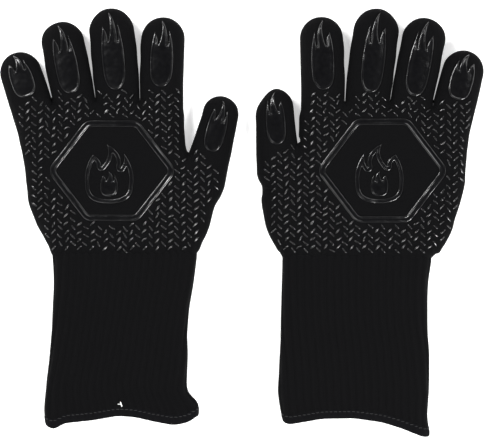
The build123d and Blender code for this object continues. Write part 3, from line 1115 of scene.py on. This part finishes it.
# %% Relief helpers
PRINT_HEIGHT = 0.8
PRINT_SINK = 0.5
PRINT_ROUND = 0.78
LIP_HEIGHT = 0.3
LIP_PLACE = 1.1
LIP_WIDTH = 0.7
RELIEF_RISE = 0.22
HALVINGS = 22
FLAME_ARCS = [
    ((-0.5, 0.3), (-0.5, 0.0), (0.0, 0.0)), ((0.0, 0.0), (0.5, 0.0), (0.5, 0.3)),
    ((0.5, 0.3), (0.56, 0.6), (0.3, 0.86)), ((0.3, 0.86), (0.34, 0.7), (0.24, 0.6)),
    ((0.24, 0.6), (0.32, 0.86), (-0.06, 1.0)), ((-0.06, 1.0), (0.06, 0.8), (-0.16, 0.62)),
    ((-0.16, 0.62), (-0.14, 0.74), (-0.34, 0.82)), ((-0.34, 0.82), (-0.54, 0.6), (-0.5, 0.3)),
]


def flame_line(width, height, foot, turn=0.0):
    """A plain three-tongued flame, its foot at a given (u, v)."""
    shares = np.linspace(0, 1, 8, endpoint=False)[:, None]
    arcs = [(1 - shares) ** 2 * np.array(a) + 2 * shares * (1 - shares) * np.array(b)
            + shares ** 2 * np.array(c) for a, b, c in FLAME_ARCS]
    line = np.concatenate(arcs) * (width, height)
    cos, sin = math.cos(turn), math.sin(turn)
    return line @ np.array([[cos, sin], [-sin, cos]]) + foot


def top_of(field, u, v):
    """Height of the cloth's upper side, by halving the gap again and again."""
    low, high = np.full(np.shape(u), CLOTH_HEIGHT / 2), np.full(np.shape(u), CLOTH_HEIGHT + 6)
    for _ in range(HALVINGS):
        middle = (low + high) / 2
        under = field(u, v, middle) < 0
        low, high = np.where(under, middle, low), np.where(under, high, middle)
    return low


def relief_mesh(name, depth_of, field, low, high, step, lip=LIP_HEIGHT):
    """A print whose outline is where depth_of is zero, laid on the cloth of a field."""
    def solid(u, v, w):
        depth = depth_of(u, v)
        crown = PRINT_HEIGHT + lip * np.exp(-((depth - LIP_PLACE) / LIP_WIDTH) ** 2) - PRINT_ROUND
        rim = np.hypot(np.maximum(PRINT_ROUND - depth, 0), np.maximum(w - crown, 0)) - PRINT_ROUND
        return np.maximum(rim, -PRINT_SINK - w)
    points, quads = skin_points(solid, (*low, -PRINT_SINK - 0.3), (*high, PRINT_HEIGHT + 0.9),
                                (step, step, RELIEF_RISE))
    points[:, 2] += top_of(field, points[:, 0], points[:, 1])
    mesh = flat_mesh(name, points, quads)
    write_map(mesh, points[:, :2])
    return mesh


print("flame outline points", len(flame_line(1, 1, (0, 0))))

# %% [markdown]
# ## The ring and the flame on the palm
# A six-sided ring frames a flame made of a bold outline with a small flame inside. The ring's centre
# and size start from its CAD node. It is then shifted and widened by a few millimetres, because the
# CAD's ring is a little too narrow. A rounded corner is a smaller, sharp outline grown by the corner's
# radius.

# %% Palm prints
RING_BAND = 5.8
RING_GROWTH = (4.6, 0.3)
RING_SHIFT = 1.6
RING_CORNER = 10.5
RING_TOP_SHARE = 0.42
RELIEF_STEP = 0.5
RING_ROOM = 2
EMBLEM_SIZE = (41, 51)
EMBLEM_FOOT = 28
EMBLEM_BAND = 4.0
EMBLEM_LIP = 0.2
SMALL_FLAME_SIZE = (15, 22)
SMALL_FLAME_FOOT = 22
FLAMES_SHIFT = 2.5


def ring_line(half_wide, half_high, grow):
    wide, high = half_wide + grow * 1.2, half_high + grow
    top = RING_TOP_SHARE * half_wide + grow * 0.55
    return np.array([(wide, 0), (top, high), (-top, high), (-wide, 0), (-top, -high), (top, -high)])


for glove in gloves:
    low, high = glove.box("palm_badge")
    middle = np.array([(low[0] + high[0]) / 2 + RING_SHIFT, (low[1] + high[1]) / 2])
    half = np.array([(high[0] - low[0]) / 2, (high[1] - low[1]) / 2]) + RING_GROWTH
    sharp = ring_line(*half, -RING_CORNER) + middle
    glove.ring_depth = lambda u, v, line=sharp: outline_depth(line, u, v) + RING_CORNER
    shift = FLAMES_SHIFT * glove.thumb_sign
    flame = flame_line(*EMBLEM_SIZE, middle - (shift, EMBLEM_FOOT))
    small = flame_line(*SMALL_FLAME_SIZE, middle - (shift, SMALL_FLAME_FOOT))

    def band_depth(u, v):
        inside = glove.ring_depth(u, v)
        return np.minimum(inside, RING_BAND - inside)

    def emblem_depth(u, v):
        inside = outline_depth(flame, u, v)
        return np.maximum(np.minimum(inside, EMBLEM_BAND - inside), outline_depth(small, u, v))

    skin_field = hand_field(glove)
    ring_print = put(glove.node("palm_ring_print"), glove,
                     relief_mesh("ring", band_depth, skin_field, middle - half - RING_ROOM,
                                 middle + half + RING_ROOM, RELIEF_STEP), finishes["silicone"])
    emblem = put(glove.node("palm_flame_print"), glove,
                 relief_mesh("emblem", emblem_depth, skin_field, flame.min(0) - 1,
                             flame.max(0) + 1, RELIEF_STEP, EMBLEM_LIP), finishes["silicone"])
    for piece in (ring_print, emblem):
        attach(piece, glove.node("hand"))
    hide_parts(glove.node("palm_badge"))
    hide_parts(glove.node("palm_badge"))
    print(glove.side, "ring faces", len(ring_print.data.polygons), "emblem", len(emblem.data.polygons))

# %% [markdown]
# ## Flames on the digits
# Every digit carries a flame on its pad. On a finger it lies right across the middle joint, so it is
# cut there into two halves, and each half goes through the same blend helper as the cloth under it.

# %% Digit prints
FLAME_WIDE = 19.5
THUMB_FLAME_WIDE = 17
THUMB_FLAME_HIGH = 45
FLAME_HEAD_ROOM = 3.5
FLAME_FEET = {"pinky": 127.5, "ring": 130.5, "middle": 133.5, "index": 136.0}


def digit_print(name, glove, field, depth_of, line, planes, bend, node):
    mesh = relief_mesh("flame", depth_of, field, line.min(0) - 1, line.max(0) + 1, RELIEF_STEP)
    for point, normal in planes:
        cut(mesh, point, normal)
    piece = put(glove.node(name), glove, mesh, finishes["silicone"])
    bend(piece)
    if node:
        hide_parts(glove.node(node))
    return len(piece.data.polygons)


for glove in gloves:
    glove.flames = []
    for name in FINGERS:
        finger = glove.fingers[name]
        lean = -math.atan2(finger.tip[0] - finger.root[0], finger.tip[1] - finger.root[1])
        foot_v = max(FLAME_FEET[name], finger.knuckle_v - KNUCKLE_CUT + 0.5)
        head_v = finger.tip[1] + finger.tip_radius - FLAME_HEAD_ROOM
        length = (head_v - foot_v) / math.cos(lean)
        line = flame_line(FLAME_WIDE, length, (finger.across(foot_v), foot_v), lean)
        glove.flames.append(line)
        split = bend_start(finger)

        def depth_of(u, v):
            return outline_depth(line, u, v)

        faces = [
            digit_print(f"{name}_flame_foot", glove, finger_field(glove, name), depth_of, line,
                        [((0, split, 0), (0, 1, 0))], lambda p: knuckle_blend(glove, p, finger), None),
            digit_print(f"{name}_flame_head", glove, finger_field(glove, name), depth_of, line,
                        [((0, split, 0), (0, -1, 0))], lambda p: bend_blend(glove, p, finger),
                        f"{name}_flame")]
        print(glove.side, name, "flame faces", faces)
    thumb = glove.thumb
    lean = -math.atan2(*(thumb.tip - thumb.root))
    along = (thumb.tip - thumb.root) / np.linalg.norm(thumb.tip - thumb.root)
    foot = thumb.tip + along * (thumb.tip_radius - FLAME_HEAD_ROOM - THUMB_FLAME_HIGH)
    line = flame_line(THUMB_FLAME_WIDE, THUMB_FLAME_HIGH, foot, lean)
    glove.flames.append(line)
    print(glove.side, "thumb flame faces",
          digit_print("thumb_flame_print", glove, thumb_field(glove), lambda u, v: outline_depth(line, u, v),
                      line, [], lambda p: thumb_blend(glove, p), "thumb_flame"))

# %% [markdown]
# ## Small things that repeat
# The grip is hundreds of short dashes, and the hem is sewn with a row of stitches. Both are the same
# small thing at two sizes: a bar with rounded ends and a domed top. It is made once, one unit long,
# wide and high, with few faces because it is repeated so often.

# %% Unit bar
BAR_SIDES = 12
BAR_LEVELS = ((0.5, -0.5), (0.5, 0.35), (0.42, 0.8), (0.24, 1.0))


def unit_bar():
    """A domed bar one unit long, wide and high, of a few dozen faces."""
    points, faces = [], []
    for reach, z in BAR_LEVELS:
        for step in range(BAR_SIDES):
            turn = 2 * math.pi * step / BAR_SIDES
            x = math.copysign(abs(math.cos(turn)) ** 0.6, math.cos(turn)) * reach
            points.append((x * (0.82 + 0.36 * reach), math.sin(turn) * reach, z))
    for level in range(len(BAR_LEVELS) - 1):
        for step in range(BAR_SIDES):
            a, b = level * BAR_SIDES + step, level * BAR_SIDES + (step + 1) % BAR_SIDES
            faces.append((a, b, b + BAR_SIDES, a + BAR_SIDES))
    faces.append(tuple(range(BAR_SIDES))[::-1])
    faces.append(tuple(range(len(points) - BAR_SIDES, len(points))))
    bar = bpy.data.objects.new("unit_bar", flat_mesh("unit_bar", points, faces))
    bar.data.shade_smooth()
    return bar


bar = unit_bar()
print("bar faces", len(bar.data.polygons))

# %% [markdown]
# ## The tree that lays the bars
# Placing hundreds of bars one by one would be slow, so Geometry Nodes lay them. Each point of a guide
# mesh says which way its cloth faces and how its bar leans, and the tree puts a bar there, a little
# longer or shorter by chance. The tree ends with real geometry, because instances would be lost.

# %% Tree
LENGTH_SEED = 5


def build_tree():
    tree = bpy.data.node_groups.new("lay_bars", "GeometryNodeTree")
    face = tree.interface
    face.new_socket("Geometry", in_out="INPUT", socket_type="NodeSocketGeometry")
    for name, kind in (("Bar", "NodeSocketObject"), ("Length", "NodeSocketFloat"),
                       ("Width", "NodeSocketFloat"), ("Height", "NodeSocketFloat"),
                       ("Length spread", "NodeSocketFloat"), ("Finish", "NodeSocketMaterial")):
        face.new_socket(name, in_out="INPUT", socket_type=kind)
    face.new_socket("Geometry", in_out="OUTPUT", socket_type="NodeSocketGeometry")
    start, end = tree.nodes.new("NodeGroupInput"), tree.nodes.new("NodeGroupOutput")

    def node(kind, settings=None, links=None):
        made = tree.nodes.new(kind)
        for name, value in (settings or {}).items():
            setattr(made, name, value)
        for key, source in (links or {}).items():
            if hasattr(source, "is_output"):
                tree.links.new(source, made.inputs[key])
            else:
                made.inputs[key].default_value = source
        return made

    facing = node("GeometryNodeInputNamedAttribute", {"data_type": "FLOAT_VECTOR"}, {"Name": "facing"})
    lean = node("GeometryNodeInputNamedAttribute", {"data_type": "FLOAT"}, {"Name": "lean"})
    upright = node("FunctionNodeAlignRotationToVector", {"axis": "Z"}, {"Vector": facing.outputs[0]})
    spin = node("ShaderNodeCombineXYZ", None, {"Z": lean.outputs[0]})
    turn = node("FunctionNodeEulerToRotation", None, {0: spin.outputs[0]})
    both = node("FunctionNodeRotateRotation", {"rotation_space": "LOCAL"},
                {0: upright.outputs[0], 1: turn.outputs[0]})
    vary = node("FunctionNodeRandomValue", {"data_type": "FLOAT"}, {"Seed": LENGTH_SEED})
    scalars = [s for s in vary.inputs if s.type == "VALUE" and s.name in ("Min", "Max")]
    low = node("ShaderNodeMath", {"operation": "SUBTRACT"}, {0: 1.0, 1: start.outputs["Length spread"]})
    high = node("ShaderNodeMath", {"operation": "ADD"}, {0: 1.0, 1: start.outputs["Length spread"]})
    tree.links.new(low.outputs[0], scalars[0])
    tree.links.new(high.outputs[0], scalars[1])
    share = [s for s in vary.outputs if s.type == "VALUE"][0]
    length = node("ShaderNodeMath", {"operation": "MULTIPLY"}, {0: start.outputs["Length"], 1: share})
    size = node("ShaderNodeCombineXYZ", None, {"X": length.outputs[0], "Y": start.outputs["Width"],
                                               "Z": start.outputs["Height"]})
    shape = node("GeometryNodeObjectInfo", None, {"Object": start.outputs["Bar"]})
    laid = node("GeometryNodeInstanceOnPoints", None, {
        "Points": start.outputs["Geometry"], "Instance": shape.outputs["Geometry"],
        "Rotation": both.outputs[0], "Scale": size.outputs[0]})
    real = node("GeometryNodeRealizeInstances", None, {0: laid.outputs[0]})
    painted = node("GeometryNodeSetMaterial", None, {"Geometry": real.outputs[0],
                                                     "Material": start.outputs["Finish"]})
    tree.links.new(painted.outputs[0], end.inputs[0])
    return tree


bar_tree = build_tree()
print("tree nodes", len(bar_tree.nodes))

# %% [markdown]
# ## Laying bars on points
# The guide mesh has points only, and its two attributes feed the tree. The modifier's inputs are set
# by their identifiers, the result becomes a plain mesh, and the guide is thrown away. On the mirrored
# right hand the places, the facing and the lean all change side.

# %% Laying bars
def lay_bars(name, glove, places, facing, lean, sizes, spread, finish):
    """A plain mesh of bars at (u, v, z) places, facing along normals, turned by lean."""
    mirror = np.array([glove.thumb_sign, 1, 1])
    points = (np.array(places) * mirror + (glove.x, glove.y, 0)) * MM
    guide = bpy.data.meshes.new(name)
    guide.from_pydata(points.tolist(), [], [])
    guide.attributes.new("facing", "FLOAT_VECTOR", "POINT").data.foreach_set(
        "vector", (np.array(facing) * mirror).ravel())
    guide.attributes.new("lean", "FLOAT", "POINT").data.foreach_set(
        "value", np.array(lean) * glove.thumb_sign)
    holder = bpy.data.objects.new(name, guide)
    bpy.context.scene.collection.objects.link(holder)
    modifier = holder.modifiers.new("lay_bars", "NODES")
    modifier.node_group = bar_tree
    values = {"Bar": bar, "Length": sizes[0] * MM, "Width": sizes[1] * MM, "Height": sizes[2] * MM,
              "Length spread": spread, "Finish": finish}
    for item in bar_tree.interface.items_tree:
        if item.in_out == "INPUT" and item.name in values:
            modifier[item.identifier] = values[item.name]
    view = bpy.context.evaluated_depsgraph_get()
    mesh = bpy.data.meshes.new_from_object(holder.evaluated_get(view))
    bpy.data.objects.remove(holder)
    mesh.shade_smooth()
    mesh.set_sharp_from_angle(angle=RIM_ANGLE)
    piece = bpy.data.objects.new(name, mesh)
    bpy.context.scene.collection.objects.link(piece)
    return piece


print("inputs of the tree", [item.name for item in bar_tree.interface.items_tree if item.in_out == "INPUT"])

# %% [markdown]
# ## Grip dashes
# The dashes stand in columns that lean left and right by turns, like herringbone. They cover the palm,
# the roots of the fingers and the root of the thumb, stop short of the edges, and leave the ring and
# the flames free. A little jitter keeps the print from looking stamped by a computer.

# %% Dash places
DASH_SIZE = (5.9, 1.6, 0.85)
COLUMN_PITCH = 5.5
ROW_PITCH = 6.8
EDGE_MARGIN = 4.2
FLAME_CLEARANCE = 2.6
RING_CLEARANCES = (1.8, 2.9)
LOWEST_ROW = -3.5
ROW_CURVE = 0.0006
JITTER = 0.38
LEAN_JITTER = 0.14
FACING_NUDGE = 0.8


def cloth_facing(field, u, v):
    """Height of the cloth's upper side, and the way it faces."""
    top = top_of(field, u, v)
    slope_u = (top_of(field, u + FACING_NUDGE, v) - top) / FACING_NUDGE
    slope_v = (top_of(field, u, v + FACING_NUDGE) - top) / FACING_NUDGE
    normal = np.stack([-slope_u, -slope_v, np.ones_like(top)], 1)
    return top, normal / np.linalg.norm(normal, axis=1)[:, None]


def dash_grid(glove, draw):
    """Places and leans of all dashes that lie well inside the cloth and outside the ring."""
    columns = np.arange(glove.palm_line[:, 0].min(), glove.palm_line[:, 0].max() + 16, COLUMN_PITCH)
    rows = np.arange(-4, 140, ROW_PITCH)
    grid_u, grid_v = np.meshgrid(columns, rows, indexing="ij")
    odd = (np.arange(len(columns)) % 2)[:, None]
    lean = np.where(odd, 1, -1) * math.pi / 4 + 0 * grid_u
    grid_v = grid_v + odd * ROW_PITCH / 2
    u, v, lean = grid_u.ravel(), grid_v.ravel(), lean.ravel()
    u, v = u + draw.normal(0, JITTER, u.size), v + draw.normal(0, JITTER, u.size)
    lean = lean + draw.normal(0, LEAN_JITTER, u.size)
    depths = [finger_depth(glove, name, u, v) for name in FINGERS]
    depths += [outline_depth(glove.palm_line, u, v), thumb_depth(glove, u, v)]
    keep = np.max(depths, axis=0) > EDGE_MARGIN
    keep &= v > LOWEST_ROW + ROW_CURVE * u ** 2
    keep &= np.max([outline_depth(line, u, v) for line in glove.flames], axis=0) < -FLAME_CLEARANCE
    keep &= glove.ring_depth(u, v) < -np.where((u > 20) | (v < 35), *RING_CLEARANCES)
    return u[keep], v[keep], lean[keep]


for number, glove in enumerate(gloves):
    glove.dashes = dash_grid(glove, np.random.default_rng(40 + number))
    print(glove.side, "dash places", len(glove.dashes[0]))

# %% [markdown]
# ## Dashes near the joints
# A dash is tiny, so it could ride on one body. But the dashes near a knuckle or the thumb's root sit
# on cloth that bends at a joint, and would sink into it. So the thumb's and each finger's dashes are
# pieces of their own, passed to the same blend helper as their cloth, and only the palm's ride on the hand.

# %% Dash pieces
FINGER_REACH = 7.5
THUMB_REACH = 5.0
LENGTH_SPREAD = 0.1


def dash_piece(name, glove, places, chosen, field):
    u, v, lean = (values[chosen] for values in places)
    top, facing = cloth_facing(field, u, v)
    dashes = lay_bars(glove.node(name), glove, np.stack([u, v, top], 1), facing, lean, DASH_SIZE,
                      LENGTH_SPREAD, finishes["silicone"])
    print(glove.side, name, len(u), "faces", len(dashes.data.polygons))
    return dashes


for glove in gloves:
    places = glove.dashes
    u, v, _ = places
    cut_v = glove.fingers["index"].knuckle_v - KNUCKLE_CUT
    outward = thumb_outward(glove, u, v)
    on_thumb = (thumb_depth(glove, u, v) > THUMB_SIDE) & (outward > -THUMB_CUT) & (v < cut_v)
    past = v >= cut_v
    palm_dashes = dash_piece("grip_dashes", glove, places, ~on_thumb & ~past, hand_field(glove))
    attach(palm_dashes, glove.node("hand"))
    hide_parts(glove.node("palm_dashes"))
    thumb_dashes = dash_piece("thumb_dashes", glove, places, on_thumb & (outward < THUMB_REACH - THUMB_CUT)
                              & (thumb_depth(glove, u, v) > EDGE_MARGIN), thumb_field(glove))
    thumb_blend(glove, thumb_dashes)
    for name in FINGERS:
        finger = glove.fingers[name]
        chosen = past & (finger_depth(glove, name, u, v) > EDGE_MARGIN)
        chosen &= v < min(FLAME_FEET[name] + 1, cut_v + FINGER_REACH)
        if chosen.any():
            knuckle_blend(glove, dash_piece(f"{name}_dashes", glove, places, chosen,
                                            finger_field(glove, name)), finger)

# %% [markdown]
# ## Hem stitches
# A single line of stitches holds the folded band. The same tree lays them, smaller and all in one
# direction, along the upper and the lower side of the mouth. Its two narrow sides have none.

# %% Stitches
STITCH_SIZE = (2.9, 0.55, 0.42)
STITCH_PITCH = 3.8
STITCH_RISE = 6.6
STITCH_SINK = 0.15
STITCH_SPREAD = 0.08
UPRIGHT = 0.6

for glove in gloves:
    v = MOUTH_V + STITCH_RISE
    row, at = ring(glove, v, HEM_INSET - HEM_HALF_THICK + STITCH_SINK, 0.0, cuff_height(v))
    ahead = np.roll(row, -1, axis=0) - np.roll(row, 1, axis=0)
    out = np.stack([ahead[:, 2], 0 * at, -ahead[:, 0]], 1)
    out /= np.linalg.norm(out, axis=1)[:, None]
    row = bend_mouth(glove, row)
    wanted = np.arange(0, at[-1], STITCH_PITCH)
    places = np.stack([np.interp(wanted, at, row[:, axis]) for axis in range(3)], 1)
    outs = np.stack([np.interp(wanted, at, out[:, axis]) for axis in range(3)], 1)
    upright = np.abs(outs[:, 2]) > UPRIGHT
    stitches = lay_bars(glove.node("hem_stitches"), glove, places[upright], outs[upright],
                        np.zeros(upright.sum()), STITCH_SIZE, STITCH_SPREAD, finishes["sewing_thread"])
    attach(stitches, glove.node("cuff"))
    print(glove.side, "stitches", int(upright.sum()))

# %% [markdown]
# ## A tag's barb
# A cut price-tag pin has left its white nylon barb in one cuff. It is a tiny capsule lying between two
# ribs, with a stub of its stem.

# %% Tag barb
BARB_PLACE = (-4.6, -133.4)
BARB_RISE = 0.9
BARB_RADIUS = 0.62
STEM_RADIUS = 0.34
CAPSULE_SIDES = 10


def capsule(start, end, radius):
    """A round bar with domed ends."""
    sides = CAPSULE_SIDES
    start, end = np.array(start, float), np.array(end, float)
    along = (end - start) / np.linalg.norm(end - start)
    side = np.cross(along, (0.3, 0.2, 1.0))
    side /= np.linalg.norm(side)
    up = np.cross(side, along)
    levels = [(start, -1.0, 0.02), (start, -0.7, 0.7), (start, 0, 1.0), (end, 0, 1.0), (end, 0.7, 0.7),
              (end, 1.0, 0.02)]
    turns = np.linspace(0, 2 * math.pi, sides, endpoint=False)
    points = [centre + along * shift * radius + radius * share * (math.cos(t) * side + math.sin(t) * up)
              for centre, shift, share in levels for t in turns]
    faces = [(r * sides + i, r * sides + (i + 1) % sides, (r + 1) * sides + (i + 1) % sides,
              (r + 1) * sides + i) for r in range(len(levels) - 1) for i in range(sides)]
    faces += [tuple(range(sides))[::-1], tuple(range(len(points) - sides, len(points)))]
    return points, faces


left = gloves[0]
barb_z = CUFF_MIDDLE + cuff_height(BARB_PLACE[1]) + BARB_RISE
u, v = BARB_PLACE
bar_points, bar_faces = capsule((u + 0.4, v + 1.7, barb_z), (u + 1.5, v - 1.5, barb_z), BARB_RADIUS)
stem_points, stem_faces = capsule((u - 3.2, v + 0.2, barb_z - 0.5), (u + 0.7, v + 0.1, barb_z),
                                  STEM_RADIUS)
faces = bar_faces + [tuple(i + len(bar_points) for i in face) for face in stem_faces]
barb = put("left_tag_barb", left, flat_mesh("barb", bar_points + stem_points, faces),
           finishes["tag_nylon"])
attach(barb, "left_cuff")
print("barb faces", len(barb.data.polygons))

# %% [markdown]
# ## White table
# The gloves lie on a plain white surface. A white floor under black cloth still looks grey unless it
# is lit hard, so it also glows a little by itself, which leaves only faint shadows.

# %% Table
FLOOR_SIZE = 6.0
FLOOR_DROP = 0.0004
FLOOR_GLOW = 0.5
low, high = cad_box
middle = (Vector(low) + Vector(high)) / 2


def floor_finish():
    material, start, shader = new_material("white_table", 0.9)
    grain = noise(start, start.node("ShaderNodeTexCoord", output=3), 6.0, 4.0)
    feed(start, shader, "Base Color", blend_colours(start, grain, (0.93, 0.93, 0.93), (0.96, 0.96, 0.96)))
    shader.inputs["Emission Color"].default_value = (1, 1, 1, 1)
    shader.inputs["Emission Strength"].default_value = FLOOR_GLOW
    return material


half_floor = FLOOR_SIZE / 2
corners = [(x * half_floor, y * half_floor, low[2] - FLOOR_DROP)
           for x, y in ((-1, -1), (1, -1), (1, 1), (-1, 1))]
floor = bpy.data.objects.new("table", flat_mesh("table", corners, [(0, 1, 2, 3)]))
floor.data.materials.append(floor_finish())
bpy.context.scene.collection.objects.link(floor)
print("table", FLOOR_SIZE, "m wide, top at", round(low[2] - FLOOR_DROP, 4), "m")

# %% [markdown]
# ## Room and lights
# Light from straight above would make black silicone look flat and grey. Two strong lamps therefore
# stand at opposite corners, about 45 degrees up, and two weak ones at the other corners. The edges of
# the silicone catch them while the flat cloth stays dark. The room itself is bright near the horizon,
# most of all behind the strong lamps, and dark overhead.

# %% Room and lights
ROOM_GLOW = 1.0
GLOW_STOPS = [(0.0, 1.0), (0.35, 0.5), (0.75, 0.12), (1.0, 0.08)]
LAMPS = [
    ((-0.95, 0.9, 1.25), (0.55, 0.4), 30.0),
    ((0.95, -0.9, 1.25), (0.55, 0.4), 36.0),
    ((0.9, 0.8, 1.3), (0.9, 0.6), 7.0),
    ((-0.9, -0.8, 1.3), (0.9, 0.6), 8.0),
]

world = bpy.data.worlds.new("soft_room")
world.use_nodes = True
sky = Thread(world.node_tree)
way = sky.node("ShaderNodeTexCoord", output=0)
height = sky.node("ShaderNodeSeparateXYZ", None, {0: way}, output=2)
east, north = (sky.node("ShaderNodeSeparateXYZ", None, {0: way}, output=axis) for axis in (0, 1))
facing_lamps = (east - north).size() * 0.75
glow = sky.node("ShaderNodeValToRGB", {"stops": GLOW_STOPS}, {0: height})
world.node_tree.links.new((glow * (facing_lamps * 0.8 + 0.4)).socket,
                          world.node_tree.nodes["Background"].inputs["Color"])
world.node_tree.nodes["Background"].inputs["Strength"].default_value = ROOM_GLOW
bpy.context.scene.world = world
bpy.context.scene.view_settings.view_transform = "Standard"

for number, (place, size, power) in enumerate(LAMPS):
    lamp = bpy.data.lights.new(f"softbox_{number}", "AREA")
    lamp.shape, lamp.size, lamp.size_y, lamp.energy = "RECTANGLE", size[0], size[1], power
    holder = bpy.data.objects.new(f"softbox_{number}", lamp)
    holder.location = middle + Vector(place)
    holder.rotation_euler = (middle - holder.location).to_track_quat("-Z", "Y").to_euler()
    bpy.context.scene.collection.objects.link(holder)
    print("softbox", number, "at", [round(value, 2) for value in holder.location], "power", power)

# %% [markdown]
# ## Camera
# The view is straight down. A long lens from more than a metre up keeps it nearly without perspective,
# so the outlines stay true to size. The camera's height follows from the lens and from the width that
# the frame should show.

# %% Camera
LENS = 100.0
SENSOR = 36.0
FRAME_WIDTH = 0.417
CAMERA_SHIFT = (0.00175, -0.002)

lens = bpy.data.cameras.new("camera")
lens.lens, lens.sensor_width = LENS, SENSOR
camera = bpy.data.objects.new("camera", lens)
camera.location = (middle[0] + CAMERA_SHIFT[0], middle[1] + CAMERA_SHIFT[1],
                   middle[2] + FRAME_WIDTH * LENS / SENSOR)
camera.rotation_euler = (0, 0, 0)
bpy.context.scene.collection.objects.link(camera)
bpy.context.scene.camera = camera
print("camera height", round(camera.location[2], 3), "m")

# %% [markdown]
# ## Finish
# The view layer is brought up to date once more at the end.

# %% Finish
bpy.context.view_layer.update()
